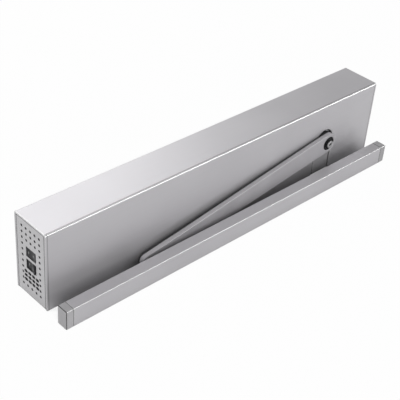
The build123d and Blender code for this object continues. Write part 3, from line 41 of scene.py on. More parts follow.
# The view: the operator lies on its wall face, seen from above its switch end and arm side.
# The camera stands about 1.6 m away, turned a little about its own axis.
azimuth, elevation, roll = radians(-45.605), radians(34.602), radians(4.726)
turn = (
    Matrix.Rotation(azimuth, 3, "Z")
    @ Matrix.Rotation(pi / 2 - elevation, 3, "X")
    @ Matrix.Rotation(roll, 3, "Z")
)
bpy.ops.object.camera_add(location=(-0.9155, -0.8686, 0.9217), rotation=turn.to_euler())
camera = bpy.context.object
camera.data.lens = 88.25
camera.data.sensor_width = 36
camera.data.shift_x = -0.0022
camera.data.shift_y = -0.0481
bpy.context.scene.camera = camera
bpy.context.scene.view_settings.view_transform = "Standard"


# The studio: a pale floor under the unit and an even white room around it.
# The floor looks white to the view and pale in the metal, but dark where the unit stands close over
# it. How open a place is to its surroundings sets where it darkens.
def add_node(tree, kind, inputs=None, **options):
    """Add a shader node, set its options, and set or link its inputs, by name or number."""
    added = tree.nodes.new(kind)
    for option, value in options.items():
        setattr(added, option, value)
    for name, value in (inputs or {}).items():
        if isinstance(value, bpy.types.NodeSocket):
            tree.links.new(value, added.inputs[name])
        else:
            added.inputs[name].default_value = value
    return added


def calculate(tree, operation, *values, **options):
    """Add a maths node and give the socket of its result."""
    inputs = dict(enumerate(values))
    return add_node(tree, "ShaderNodeMath", inputs, operation=operation, **options).outputs[0]


def rescale(tree, value, start, stop, new_start=0.0, new_stop=1.0):
    """Add a node that maps one range onto another, and give the socket of its result."""
    inputs = {
        "Value": value,
        "From Min": start,
        "From Max": stop,
        "To Min": new_start,
        "To Max": new_stop,
    }
    return add_node(tree, "ShaderNodeMapRange", inputs).outputs[0]


def blend_tones(tree, share, under, over):
    """Add a node that blends two colours, and give the socket of its result."""
    # A Mix node takes colours at inputs 6 and 7, and gives their blend at output 2.
    inputs = {0: share, 6: under, 7: over}
    return add_node(tree, "ShaderNodeMix", inputs, data_type="RGBA").outputs[2]


floor_drop, shadow_reach = 0.0006, 0.12
shadow_tone, floor_tone = (0.03, 0.03, 0.032, 1), (0.64, 0.64, 0.645, 1)
pale_from, pale_to = 0.22, 0.62
white_from, white_to, whitest = 0.1, 0.4, 0.98
floor_glow_in_metal = 0.28
bpy.ops.mesh.primitive_plane_add(size=24, location=(0, 0, -floor_drop))
floor = bpy.context.object
floor.name = "floor"
floor_paint = bpy.data.materials.new("pale_floor")
floor_paint.use_nodes = True
tree = floor_paint.node_tree
tree.nodes.clear()
openness = add_node(tree, "ShaderNodeAmbientOcclusion", {"Distance": shadow_reach}, samples=8)
pale_floor = rescale(tree, openness.outputs["AO"], pale_from, pale_to)
white_floor = rescale(tree, openness.outputs["AO"], white_from, white_to, new_stop=whitest)
shade = blend_tones(tree, pale_floor, shadow_tone, floor_tone)
matte = add_node(tree, "ShaderNodeBsdfDiffuse", {"Color": shade})
glow = add_node(tree, "ShaderNodeEmission", {"Color": (1, 1, 1, 1), "Strength": 1.0})
rays = add_node(tree, "ShaderNodeLightPath").outputs
mirrored = calculate(tree, "MAXIMUM", rays["Is Glossy Ray"], rays["Is Transmission Ray"])
mirrored_floor = calculate(tree, "MULTIPLY", mirrored, pale_floor)
mirrored_share = calculate(tree, "MULTIPLY", mirrored_floor, floor_glow_in_metal)
seen_share = calculate(tree, "MULTIPLY", rays["Is Camera Ray"], white_floor)
share = calculate(tree, "MAXIMUM", seen_share, mirrored_share)
lit = add_node(tree, "ShaderNodeMixShader", {0: share, 1: matte.outputs[0], 2: glow.outputs[0]})
add_node(tree, "ShaderNodeOutputMaterial", {"Surface": lit.outputs[0]})
floor.data.materials.append(floor_paint)

fill_strength, room_glow_in_metal = 0.35, 0.11
room = bpy.context.scene.world or bpy.data.worlds.new("room")
bpy.context.scene.world = room
room.use_nodes = True
tree = room.node_tree
tree.nodes.clear()
fill = add_node(
    tree, "ShaderNodeBackground", {"Color": (1, 0.995, 1, 1), "Strength": fill_strength}
)
white = add_node(tree, "ShaderNodeBackground", {"Color": (1, 1, 1, 1), "Strength": 1.0})
rays = add_node(tree, "ShaderNodeLightPath").outputs
mirrored = calculate(tree, "MAXIMUM", rays["Is Glossy Ray"], rays["Is Transmission Ray"])
mirrored_share = calculate(tree, "MULTIPLY", mirrored, room_glow_in_metal)
share = calculate(tree, "MAXIMUM", rays["Is Camera Ray"], mirrored_share)
lit = add_node(tree, "ShaderNodeMixShader", {0: share, 1: fill.outputs[0], 2: white.outputs[0]})
add_node(tree, "ShaderNodeOutputWorld", {"Surface": lit.outputs[0]})

# Soft lamps: a weak one behind, which the top face mirrors towards its left end, a large key lamp
# far off for the matt share of every surface, and two strips that only the gloss shows, as lines
# of light along the edges.
for name, place, aim, width, height, watts, on_matte, on_gloss in (
    ("back_softbox", (0.30, 1.20, 1.20), (-0.30, 0.0, 0.13), 1.2, 0.9, 7.2, True, True),
    ("key_softbox", (-2.3, -2.7, 1.8), (-0.10, 0.0, 0.05), 2.0, 2.0, 97.0, True, False),
    ("edge_strip", (0.80, -1.45, 0.35), (0.0, -0.03, 0.10), 2.2, 0.25, 11.0, False, True),
    ("end_strip", (-1.40, 1.10, 1.25), (-0.34, 0.0, 0.13), 0.8, 0.5, 5.0, False, True),
):
    aim_turn = (Vector(place) - Vector(aim)).to_track_quat("Z", "Y").to_euler()
    bpy.ops.object.light_add(type="AREA", location=place, rotation=aim_turn)
    lamp = bpy.context.object
    lamp.name = name
    lamp.data.shape = "RECTANGLE"
    lamp.data.size = width
    lamp.data.size_y = height
    lamp.data.energy = watts
    lamp.visible_diffuse = on_matte
    lamp.visible_glossy = on_gloss


# Mounting plate and power supply case: folded zinc-plated sheet steel.
# The rolling marks run along the sheet. The plating is a little cloudy, and is brighter along the
# folds.
def new_group(name, takes, gives):
    """Start a shader group with the inputs it takes and the outputs it gives."""
    group = bpy.data.node_groups.new(name, "ShaderNodeTree")
    for label, value in takes.items():
        kind = "NodeSocketVector" if isinstance(value, tuple) else "NodeSocketFloat"
        group.interface.new_socket(label, in_out="INPUT", socket_type=kind).default_value = value
    for label, kind in gives.items():
        group.interface.new_socket(label, in_out="OUTPUT", socket_type=kind)
    return group, add_node(group, "NodeGroupInput").outputs


# Sharp edges get a rim mask. Their paler rim tone is partly wear and partly a painted highlight
# along the edges.
rim_start, rim_full = 0.995, 0.9
worn_and_highlit_edge, taken = new_group(
    "worn_and_highlit_edge", {"Radius": 0.0005}, {"Mask": "NodeSocketFloat", "Normal": "NodeSocketVector"}
)
soft = add_node(worn_and_highlit_edge, "ShaderNodeBevel", {"Radius": taken["Radius"]}, samples=6)
sharp = add_node(worn_and_highlit_edge, "ShaderNodeNewGeometry")
normals = {0: soft.outputs["Normal"], 1: sharp.outputs["Normal"]}
likeness = add_node(worn_and_highlit_edge, "ShaderNodeVectorMath", normals, operation="DOT_PRODUCT")
rim = rescale(worn_and_highlit_edge, likeness.outputs["Value"], rim_start, rim_full)
add_node(worn_and_highlit_edge, "NodeGroupOutput", {"Mask": rim, "Normal": soft.outputs["Normal"]})

# Most of a noise lies between these two values, so they are spread over the whole range.
noise_low, noise_high = 0.3, 0.7
long_grain, taken = new_group(
    "long_grain", {"Stretch": (20.0, 3000.0, 3000.0)}, {"Grain": "NodeSocketFloat"}
)
place = add_node(long_grain, "ShaderNodeTexCoord")
stretch = {0: place.outputs["Object"], 1: taken["Stretch"]}
drawn = add_node(long_grain, "ShaderNodeVectorMath", stretch, operation="MULTIPLY")
lines = add_node(
    long_grain, "ShaderNodeTexNoise", {"Vector": drawn.outputs[0], "Scale": 1.0, "Detail": 3.0}
)
grain = rescale(long_grain, lines.outputs[0], noise_low, noise_high)
add_node(long_grain, "NodeGroupOutput", {"Grain": grain})

speckle, taken = new_group(
    "speckle", {"Fineness": 1500.0, "Detail": 3.0}, {"Speckle": "NodeSocketFloat"}
)
place = add_node(speckle, "ShaderNodeTexCoord")
spots = add_node(
    speckle,
    "ShaderNodeTexNoise",
    {"Vector": place.outputs["Object"], "Scale": taken["Fineness"], "Detail": taken["Detail"]},
)
spots = rescale(speckle, spots.outputs[0], noise_low, noise_high)
add_node(speckle, "NodeGroupOutput", {"Speckle": spots})


def finish(name, tones, roughness, metallic, grain, relief, edge, cloud):
    """A material with a fine grain over soft clouds of tone, and with rounded edges in a rim tone:
    paler as wear and painted highlight, or dark as painted shade.
    """
    grain_group, grain_inputs = grain
    rim_radius, rim_tone = edge
    grain_share = 0.4
    material = bpy.data.materials.new(name)
    material.use_nodes = True
    tree = material.node_tree
    fine = add_node(tree, "ShaderNodeGroup", grain_inputs, node_tree=grain_group).outputs[0]
    clouds = add_node(tree, "ShaderNodeGroup", {"Fineness": cloud}, node_tree=speckle).outputs[0]
    rims = add_node(tree, "ShaderNodeGroup", {"Radius": rim_radius}, node_tree=worn_and_highlit_edge).outputs
    # A Mix node takes plain values at inputs 2 and 3.
    mottle = add_node(tree, "ShaderNodeMix", {0: grain_share, 2: clouds, 3: fine}).outputs[0]
    tone = blend_tones(tree, mottle, (*tones[0], 1), (*tones[1], 1))
    rimmed = blend_tones(tree, rims["Mask"], tone, (*rim_tone, 1))
    bumps = {"Distance": relief, "Height": fine, "Normal": rims["Normal"]}
    bump = add_node(tree, "ShaderNodeBump", bumps)
    shader = tree.nodes["Principled BSDF"].inputs
    shader["Metallic"].default_value = metallic
    tree.links.new(rimmed, shader["Base Color"])
    tree.links.new(rescale(tree, mottle, 0.0, 1.0, *roughness), shader["Roughness"])
    tree.links.new(bump.outputs[0], shader["Normal"])
    return material


def dress(material, *names):
    """Give CAD pieces their finished material."""
    for name in names:
        nodes[name].data.materials.clear()
        nodes[name].data.materials.append(material)


zinc = finish(
    "zinc_plated_sheet",
    tones=((0.50, 0.51, 0.53), (0.60, 0.61, 0.62)),
    roughness=(0.34, 0.46),
    metallic=1.0,
    grain=(long_grain, {"Stretch": (25.0, 1800.0, 1800.0)}),
    relief=0.00001,
    edge=(0.0006, (0.70, 0.71, 0.72)),
    cloud=45.0,
)
dress(zinc, "mounting_plate", "supply_case")

# Cable grommet and the buffer in the track: moulded black rubber.
# The grommet grips the rim of the cable entry, and the buffer is pushed into the track's end.
rubber = finish(
    "black_rubber",
    tones=((0.016, 0.016, 0.017), (0.032, 0.032, 0.033)),
    roughness=(0.62, 0.80),
    metallic=0.0,
    grain=(speckle, {"Fineness": 2600.0, "Detail": 2.0}),
    relief=0.00003,
    edge=(0.0004, (0.055, 0.055, 0.057)),
    cloud=120.0,
)
dress(rubber, "cable_grommet", "track_buffer")

# Drive housing, lid, motor end plate, spring tube and saddle: die-cast aluminium, left as cast.
# The skin is grey and finely pitted, and edges that were trimmed are brighter.
cast = finish(
    "die_cast_alloy",
    tones=((0.36, 0.37, 0.38), (0.50, 0.505, 0.51)),
    roughness=(0.44, 0.62),
    metallic=0.9,
    grain=(speckle, {"Fineness": 900.0, "Detail": 5.0}),
    relief=0.00006,
    edge=(0.0009, (0.66, 0.66, 0.67)),
    cloud=60.0,
)
dress(cast, "drive_housing", "drive_lid", "motor_end_plate", "spring_tube", "tube_saddle")

# Bearings and bushes: ground steel rings with a dark seal between them, and sintered bronze rings.
# Grinding leaves fine rings about each axis.
turned_rings, taken = new_group(
    "turned_rings",
    {"Centre": (0.0, 0.0, 0.0), "Fineness": 1500.0},
    {"Rings": "NodeSocketFloat", "Radius": "NodeSocketFloat"},
)
place = add_node(turned_rings, "ShaderNodeTexCoord")
ends = {0: place.outputs["Object"], 1: taken["Centre"]}
from_axis = add_node(turned_rings, "ShaderNodeVectorMath", ends, operation="SUBTRACT")
level = {0: from_axis.outputs[0], 1: (1.0, 0.0, 1.0)}
flattened = add_node(turned_rings, "ShaderNodeVectorMath", level, operation="MULTIPLY")
length = add_node(
    turned_rings, "ShaderNodeVectorMath", {0: flattened.outputs[0]}, operation="LENGTH"
)
radius = length.outputs["Value"]
rings = add_node(
    turned_rings,
    "ShaderNodeTexNoise",
    {"W": radius, "Scale": taken["Fineness"], "Detail": 2.0},
    noise_dimensions="1D",
)
rings = rescale(turned_rings, rings.outputs[0], noise_low, noise_high)
add_node(turned_rings, "NodeGroupOutput", {"Rings": rings, "Radius": radius})


def paint_over(material, mask, tone, metallic=None, roughness=None):
    """Lay another finish over a material where the mask is 1."""
    tree = material.node_tree
    shader = tree.nodes["Principled BSDF"].inputs
    under = shader["Base Color"].links[0].from_socket
    tree.links.new(blend_tones(tree, mask, under, (*tone, 1)), shader["Base Color"])
    for socket, value in ((shader["Metallic"], metallic), (shader["Roughness"], roughness)):
        if value is not None:
            below = socket.links[0].from_socket if socket.links else socket.default_value
            blend = add_node(tree, "ShaderNodeMix", {0: mask, 2: below, 3: value})
            tree.links.new(blend.outputs[0], socket)


def turned_steel(name, centre, tones, roughness):
    """Turned steel whose tool marks ring an axis that runs along Y."""
    return finish(
        name,
        tones=tones,
        roughness=roughness,
        metallic=1.0,
        grain=(turned_rings, {"Centre": centre, "Fineness": 2200.0}),
        relief=0.00001,
        edge=(0.0004, (0.74, 0.74, 0.75)),
        cloud=90.0,
    )


spindle_axis = (0.22004, 0.0, 0.061)
ground_tones = ((0.56, 0.56, 0.58), (0.71, 0.71, 0.73))
bearing_steel = turned_steel("ground_bearing_steel", spindle_axis, ground_tones, (0.16, 0.28))
tree = bearing_steel.node_tree
seal_radius, seal_half_width = 0.014, 0.002
reach = add_node(tree, "ShaderNodeGroup", {"Centre": spindle_axis}, node_tree=turned_rings)
seal = calculate(tree, "COMPARE", reach.outputs["Radius"], seal_radius, seal_half_width)
paint_over(bearing_steel, seal, (0.03, 0.03, 0.032), metallic=0.0)
dress(bearing_steel, "front_bearing", "rear_bearing")

bronze = finish(
    "sintered_bronze",
    tones=((0.42, 0.26, 0.10), (0.60, 0.40, 0.18)),
    roughness=(0.30, 0.48),
    metallic=1.0,
    grain=(speckle, {"Fineness": 3200.0, "Detail": 3.0}),
    relief=0.00003,
    edge=(0.0003, (0.72, 0.52, 0.26)),
    cloud=200.0,
)
dress(bronze, "front_bush", "rear_bush")

# Output spindle with its sector gear and heart cam, and the reduction gear: machined steel.
# The gears were turned, hobbed and oiled, so each has rings about its shaft and paler tooth edges.
machined_tones = ((0.34, 0.335, 0.33), (0.48, 0.475, 0.47))
spindle_steel = turned_steel("machined_spindle_steel", spindle_axis, machined_tones, (0.24, 0.40))
dress(spindle_steel, "output_spindle", "sector_gear", "heart_cam")
wheel_axis = (0.26804, 0.0, 0.061)
gear_steel = turned_steel("machined_gear_steel", wheel_axis, machined_tones, (0.24, 0.40))
dress(gear_steel, "gear_shaft", "reduction_wheel")

# Motor: a drawn steel can in black enamel around four ferrite magnets.
# The rotor is a stack of thin steel sheets on a ground shaft, and carries a blackened encoder disc.
motor_axis = (0.3006, 0.0, 0.08832)
enamel = finish(
    "black_motor_enamel",
    tones=((0.028, 0.028, 0.031), (0.046, 0.046, 0.050)),
    roughness=(0.28, 0.42),
    metallic=0.0,
    grain=(speckle, {"Fineness": 700.0, "Detail": 2.0}),
    relief=0.00002,
    edge=(0.0008, (0.10, 0.10, 0.105)),
    cloud=50.0,
)
dress(enamel, "motor_can")
ferrite = finish(
    "fired_ferrite",
    tones=((0.045, 0.045, 0.047), (0.085, 0.085, 0.088)),
    roughness=(0.5, 0.7),
    metallic=0.2,
    grain=(speckle, {"Fineness": 1400.0, "Detail": 5.0}),
    relief=0.00005,
    edge=(0.0005, (0.15, 0.15, 0.155)),
    cloud=160.0,
)
dress(ferrite, "motor_magnets")
stack = finish(
    "stacked_core_sheets",
    tones=((0.16, 0.155, 0.15), (0.36, 0.355, 0.35)),
    roughness=(0.35, 0.55),
    metallic=1.0,
    grain=(long_grain, {"Stretch": (30.0, 2000.0, 30.0)}),
    relief=0.00005,
    edge=(0.0003, (0.48, 0.48, 0.48)),
    cloud=120.0,
)
dress(stack, "rotor_core")
dress(turned_steel("ground_rotor_steel", motor_axis, machined_tones, (0.18, 0.32)), "rotor_shaft")
black_tones = ((0.018, 0.018, 0.020), (0.038, 0.038, 0.041))
dress(turned_steel("blackened_steel", motor_axis, black_tones, (0.30, 0.45)), "encoder_disc")

# Circuit boards: glass laminate under green solder mask, in the power supply, the control unit
# and behind the encoder disc. Copper tracks show as paler lines and the tinned pads as bright dots.
board_green = finish(
    "green_circuit_board",
    tones=((0.010, 0.085, 0.035), (0.018, 0.120, 0.052)),
    roughness=(0.22, 0.36),
    metallic=0.0,
    grain=(long_grain, {"Stretch": (1400.0, 1400.0, 1400.0)}),
    relief=0.00001,
    edge=(0.0003, (0.30, 0.33, 0.18)),
    cloud=220.0,
)
tree = board_green.node_tree
place = add_node(tree, "ShaderNodeTexCoord").outputs["Object"]
# Both are shares of a cell of the pattern.
track_half_width, pad_radius = 0.09, 0.17
tracks = add_node(
    tree,
    "ShaderNodeTexVoronoi",
    {"Vector": place, "Scale": 260.0, "Randomness": 0.8},
    feature="DISTANCE_TO_EDGE",
)
on_track = calculate(tree, "LESS_THAN", tracks.outputs["Distance"], track_half_width)
paint_over(board_green, on_track, (0.035, 0.20, 0.085))
pads = add_node(
    tree, "ShaderNodeTexVoronoi", {"Vector": place, "Scale": 380.0, "Randomness": 0.55}
)
on_pad = calculate(tree, "LESS_THAN", pads.outputs["Distance"], pad_radius)
paint_over(board_green, on_pad, (0.62, 0.61, 0.58), metallic=1.0)
dress(board_green, "encoder_board", "supply_board", "control_board")

# Closing spring and its plunger: black phosphated spring wire between a steel seat and collar. It
# shortens towards its seat as the plunger slides in. The plunger, seat and adjusting screw were
# turned about the spring's axis, the roller and pin ground.
phosphate = finish(
    "phosphated_spring_wire",
    tones=((0.040, 0.042, 0.048), (0.085, 0.088, 0.095)),
    roughness=(0.34, 0.52),
    metallic=0.7,
    grain=(speckle, {"Fineness": 1800.0, "Detail": 3.0}),
    relief=0.00002,
    edge=(0.0006, (0.20, 0.20, 0.21)),
    cloud=80.0,
)
dress(phosphate, "closing_spring")
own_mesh(nodes["closing_spring"])
bar_steel = finish(
    "turned_bar_steel",
    tones=machined_tones,
    roughness=(0.26, 0.40),
    metallic=1.0,
    grain=(long_grain, {"Stretch": (2400.0, 60.0, 60.0)}),
    relief=0.00001,
    edge=(0.0005, (0.70, 0.70, 0.71)),
    cloud=90.0,
)
dress(bar_steel, "spring_plunger", "spring_seat", "spring_adjuster")
roller_axis = (0.19804, 0.0, 0.061)
roller_steel = turned_steel("ground_roller_steel", roller_axis, ground_tones, (0.14, 0.26))
dress(roller_steel, "cam_roller", "roller_pin")

# Power supply on its board: a transformer with a taped winding on a sheet-steel core,
# and three capacitors in black sleeves with a pale stripe and bare metal tops.
tape = finish(
    "yellow_winding_tape",
    tones=((0.55, 0.38, 0.045), (0.68, 0.50, 0.080)),
    roughness=(0.30, 0.42),
    metallic=0.0,
    grain=(long_grain, {"Stretch": (60.0, 60.0, 900.0)}),
    relief=0.00004,
    edge=(0.0005, (0.72, 0.58, 0.16)),
    cloud=150.0,
)


def split_axes(tree, source):
    """Give the X, Y and Z sockets of the object's own coordinates or normal."""
    place = add_node(tree, "ShaderNodeTexCoord")
    return add_node(tree, "ShaderNodeSeparateXYZ", {0: place.outputs[source]}).outputs


core_middle, core_half_width = -0.256, 0.01805
tree = tape.node_tree
core = calculate(tree, "COMPARE", split_axes(tree, "Object")["X"], core_middle, core_half_width)
sheets = add_node(tree, "ShaderNodeGroup", {"Stretch": (2200.0, 20.0, 20.0)}, node_tree=long_grain)
seams = calculate(tree, "MULTIPLY", core, sheets.outputs[0])
paint_over(tape, core, (0.15, 0.15, 0.155), metallic=0.8)
paint_over(tape, seams, (0.26, 0.255, 0.25))
dress(tape, "transformer")

sleeve = finish(
    "capacitor_sleeve",
    tones=((0.016, 0.018, 0.024), (0.026, 0.028, 0.036)),
    roughness=(0.22, 0.34),
    metallic=0.0,
    grain=(long_grain, {"Stretch": (900.0, 900.0, 60.0)}),
    relief=0.00001,
    edge=(0.0005, (0.08, 0.08, 0.09)),
    cloud=140.0,
)
tree = sleeve.node_tree
facing = split_axes(tree, "Normal")
faces_stripe, faces_up = 0.93, 0.9
stripe = calculate(tree, "GREATER_THAN", facing["X"], faces_stripe)
bare_top = calculate(tree, "GREATER_THAN", facing["Z"], faces_up)
paint_over(sleeve, stripe, (0.55, 0.56, 0.58))
paint_over(sleeve, bare_top, (0.62, 0.62, 0.63), metallic=1.0)
dress(sleeve, "capacitors")

# Control unit: a moulded tray with a board that carries green terminals, blue relays and a
# processor. The tray, the processor and the switch housing are black, finely textured plastic.
tray_plastic = finish(
    "textured_black_plastic",
    tones=((0.020, 0.020, 0.022), (0.034, 0.034, 0.037)),
    roughness=(0.48, 0.62),
    metallic=0.0,
    grain=(speckle, {"Fineness": 1900.0, "Detail": 2.0}),
    relief=0.00003,
    edge=(0.0004, (0.060, 0.060, 0.064)),
    cloud=70.0,
)
dress(tray_plastic, "control_tray", "processor", "switch_housing")
terminal_plastic = finish(
    "green_terminal_plastic",
    tones=((0.015, 0.19, 0.055), (0.024, 0.25, 0.080)),
    roughness=(0.36, 0.50),
    metallic=0.0,
    grain=(speckle, {"Fineness": 1500.0, "Detail": 2.0}),
    relief=0.00002,
    edge=(0.0003, (0.10, 0.36, 0.17)),
    cloud=200.0,
)
dress(terminal_plastic, "terminal_blocks")
relay_plastic = finish(
    "blue_relay_plastic",
    tones=((0.012, 0.050, 0.25), (0.020, 0.075, 0.33)),
    roughness=(0.20, 0.32),
    metallic=0.0,
    grain=(speckle, {"Fineness": 1200.0, "Detail": 2.0}),
    relief=0.00001,
    edge=(0.0004, (0.10, 0.20, 0.50)),
    cloud=160.0,
)
dress(relay_plastic, "relays")

# Small screws: zinc-plated steel, turned, with a hexagon socket in each head.
# They hold the lid, the motor, the spring tube, the end caps and what stands on the plate.
bright = finish(
    "bright_screw_steel",
    tones=((0.56, 0.56, 0.55), (0.70, 0.70, 0.69)),
    roughness=(0.22, 0.36),
    metallic=1.0,
    grain=(speckle, {"Fineness": 2800.0, "Detail": 2.0}),
    relief=0.00001,
    edge=(0.0002, (0.84, 0.84, 0.83)),
    cloud=300.0,
)
dress(bright, "lid_screws", "motor_screws", "tube_screws", "cap_screws", "plate_screws")

# Rocker switches: glossy black rockers, each tilting on a pin in its housing.
# The programme rocker lies level, and the mains rocker has its far side pressed in.
rocker_plastic = finish(
    "glossy_black_plastic",
    tones=((0.014, 0.014, 0.016), (0.022, 0.022, 0.025)),
    roughness=(0.26, 0.38),
    metallic=0.0,
    grain=(speckle, {"Fineness": 1600.0, "Detail": 2.0}),
    relief=0.00001,
    edge=(0.0006, (0.10, 0.10, 0.11)),
    cloud=150.0,
)
rocker_plastic.node_tree.nodes["Principled BSDF"].inputs["Specular IOR Level"].default_value = 0.3
dress(rocker_plastic, "program_rocker", "power_rocker")

# Marks on the rockers: plain white strokes and a ring, printed on the dished faces.
# The programme rocker has a single and a double stroke, the mains rocker a stroke and a ring.
print_white = finish(
    "white_print",
    tones=((0.32, 0.32, 0.32), (0.38, 0.38, 0.38)),
    roughness=(0.40, 0.52),
    metallic=0.0,
    grain=(speckle, {"Fineness": 5000.0, "Detail": 2.0}),
    relief=0.00001,
    edge=(0.0001, (0.72, 0.72, 0.72)),
    cloud=800.0,
)
pivot_x, face_reach, dish_depth, dish_radius = -0.3376, 0.005, 0.0014, 0.03786
program_level, power_level, power_rest = 0.076, 0.055, radians(-10)
mark_offset, double_offsets = 0.0056, (-0.0047, -0.0065)
mark_thickness = 0.00024
stroke_width, stroke_stretch, stroke_corner = 0.0009, 4.4, 0.0002
ring_radius, ring_width = 0.0018, 0.0007


def print_mark(name, body, level, across, rest_tilt=0.0, ring=False):
    """One stroke or ring, bent down onto the dished face of a rocker."""
    slope = asin(across / dish_radius)
    depth = dish_depth - dish_radius * (1 - cos(slope))
    reach, side = -face_reach + depth, across
    x = pivot_x + reach * cos(rest_tilt) - side * sin(rest_tilt)
    y = reach * sin(rest_tilt) + side * cos(rest_tilt)
    bpy.ops.object.select_all(action="DESELECT")
    angles = (0.0, -pi / 2, slope + rest_tilt)
    place = (x, y, level)
    if ring:
        bpy.ops.mesh.primitive_circle_add(
            vertices=32, radius=ring_radius, fill_type="NGON", location=place, rotation=angles
        )
    else:
        bpy.ops.mesh.primitive_plane_add(size=stroke_width, location=place, rotation=angles)
    mark = bpy.context.object
    mark.name = name
    bpy.ops.object.mode_set(mode="EDIT")
    if ring:
        bpy.ops.mesh.inset(thickness=ring_width)
        bpy.ops.mesh.delete(type="FACE")
    else:
        bpy.ops.transform.resize(value=(1.0, 1.0, stroke_stretch))
        bpy.ops.mesh.bevel(offset=stroke_corner, segments=2, affect="VERTICES")
    bpy.ops.object.mode_set(mode="OBJECT")
    wall = mark.modifiers.new("ink", "SOLIDIFY")
    wall.thickness = mark_thickness
    wall.offset = 0.0
    bpy.ops.object.modifier_apply(modifier=wall.name)
    bpy.ops.object.transform_apply(location=True, rotation=True, scale=True)
    mark.data.materials.append(print_white)
    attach(mark, body)


print_mark("program_mark_single", "program_rocker", program_level, mark_offset)
print_mark("program_mark_double_a", "program_rocker", program_level, double_offsets[0])
print_mark("program_mark_double_b", "program_rocker", program_level, double_offsets[1])
print_mark("power_mark_on", "power_rocker", power_level, mark_offset, power_rest)
print_mark("power_mark_off", "power_rocker", power_level, -mark_offset, power_rest, ring=True)

# End caps: plastic trays, painted silver on the outer face, that close the cover's ends.
# Every vent, their rims and the border round the plate, which lies sunk a little, are painted near
# black as shade.
# The dark edge tone is painted shade along the caps' edges.
cap_paint = finish(
    "silver_painted_plastic",
    tones=((0.625, 0.62, 0.63), (0.695, 0.69, 0.70)),
    roughness=(0.42, 0.52),
    metallic=0.25,
    grain=(speckle, {"Fineness": 3500.0, "Detail": 2.0}),
    relief=0.00001,
    edge=(0.0013, (0.06, 0.06, 0.06)),
    cloud=30.0,
)
tree = cap_paint.node_tree
axes = split_axes(tree, "Object")
end_reach = calculate(tree, "ABSOLUTE", axes["X"])
outward = calculate(tree, "ABSOLUTE", split_axes(tree, "Normal")["X"])
faces_outward = 0.85
plate_face, plate_back, plate_front, plate_top = 0.3415, 0.0313, -0.0306, 0.1259
# Painted shade: vent walls, rims and the border round the plate are painted near black.
vents_and_rims_shade = calculate(tree, "LESS_THAN", outward, faces_outward)
for reach, test, limit in (
    (end_reach, "LESS_THAN", plate_face),
    (axes["Y"], "GREATER_THAN", plate_back),
    (axes["Y"], "LESS_THAN", plate_front),
    (axes["Z"], "GREATER_THAN", plate_top),
):
    vents_and_rims_shade = calculate(tree, "MAXIMUM", vents_and_rims_shade, calculate(tree, test, reach, limit))
paint_over(cap_paint, vents_and_rims_shade, (0.035, 0.035, 0.036), metallic=0.0)
dress(cap_paint, "end_cap_switch_side", "end_cap_plain_side")

# Slot cover and track caps: grey plastic with a fine matt moulded surface. The slot cover closes
# the slot below the arm, and is a darker grey; behind its face it is painted black as shade in the
# gap. The caps are pushed into the ends of the guide track. Each has a dark joint, a dark line of
# painted shade at its end, and long edges painted bright as a highlight.
cap_grey = finish(
    "matt_grey_plastic",
    tones=((0.435, 0.43, 0.44), (0.495, 0.49, 0.50)),
    roughness=(0.46, 0.58),
    metallic=0.0,
    grain=(speckle, {"Fineness": 2200.0, "Detail": 2.0}),
    relief=0.00002,
    edge=(0.0004, (0.62, 0.62, 0.62)),
    cloud=40.0,
)
# The rounding mask finds rounded long edges, which are painted bright as a highlight.
round_start, round_full = 0.15, 0.4
rounding = new_group("rounding", {}, {"Mask": "NodeSocketFloat"})[0]
place = add_node(rounding, "ShaderNodeTexCoord")
slants = add_node(
    rounding, "ShaderNodeVectorMath", {0: place.outputs["Normal"]}, operation="ABSOLUTE"
)
axes = add_node(rounding, "ShaderNodeSeparateXYZ", {0: slants.outputs[0]}).outputs
across = calculate(rounding, "MINIMUM", axes["Y"], axes["Z"])
turned = rescale(rounding, across, round_start, round_full)
add_node(rounding, "NodeGroupOutput", {"Mask": turned})
tree = cap_grey.node_tree
rounded = add_node(tree, "ShaderNodeGroup", node_tree=rounding)
# Painted highlight: the caps' rounded long edges are painted bright and metallic.
paint_over(cap_grey, rounded.outputs["Mask"], (0.88, 0.88, 0.88), metallic=1.0, roughness=0.3)
axes = split_axes(tree, "Object")
track_middle, joint_reach, end_line_reach = -0.0045, 0.3270, 0.3393
span = calculate(tree, "ABSOLUTE", calculate(tree, "SUBTRACT", axes["X"], track_middle))
# The joint line is a dark joint; the line near each end is painted shade on the cap's corner.
for line, half_width in ((joint_reach, 0.0010), (end_line_reach, 0.0006)):
    joint_and_shade_line = calculate(tree, "COMPARE", span, line, half_width)
    paint_over(cap_grey, joint_and_shade_line, (0.04, 0.04, 0.041), metallic=0.0)
behind_caps, behind_face = -0.0450, -0.0338
in_slot = calculate(tree, "GREATER_THAN", axes["Y"], behind_caps)
# Painted shade: behind its face the slot cover is painted near black, for the gap around it.
painted_shade_behind_face = calculate(tree, "GREATER_THAN", axes["Y"], behind_face)
paint_over(cap_grey, in_slot, (0.34, 0.335, 0.345))
paint_over(cap_grey, painted_shade_behind_face, (0.03, 0.03, 0.031), metallic=0.0)
dress(cap_grey, "slot_cover", "track_cap_left", "track_cap_right")

# Cover and guide track: extruded aluminium, brushed lightly and anodised in natural silver.
# The grain runs along the extrusion. Rounded edges and the top's ends are painted near white as a
# painted highlight.
# A fine dark line of painted shade runs along the cover's top beside its edge, and one down its
# face near each end.
anodised = finish(
    "silver_anodised_extrusion",
    tones=((0.635, 0.625, 0.645), (0.685, 0.675, 0.695)),
    roughness=(0.42, 0.50),
    metallic=0.68,
    grain=(long_grain, {"Stretch": (12.0, 1500.0, 1500.0)}),
    relief=0.000002,
    edge=(0.0012, (0.86, 0.86, 0.86)),
    cloud=10.0,
)
tree = anodised.node_tree
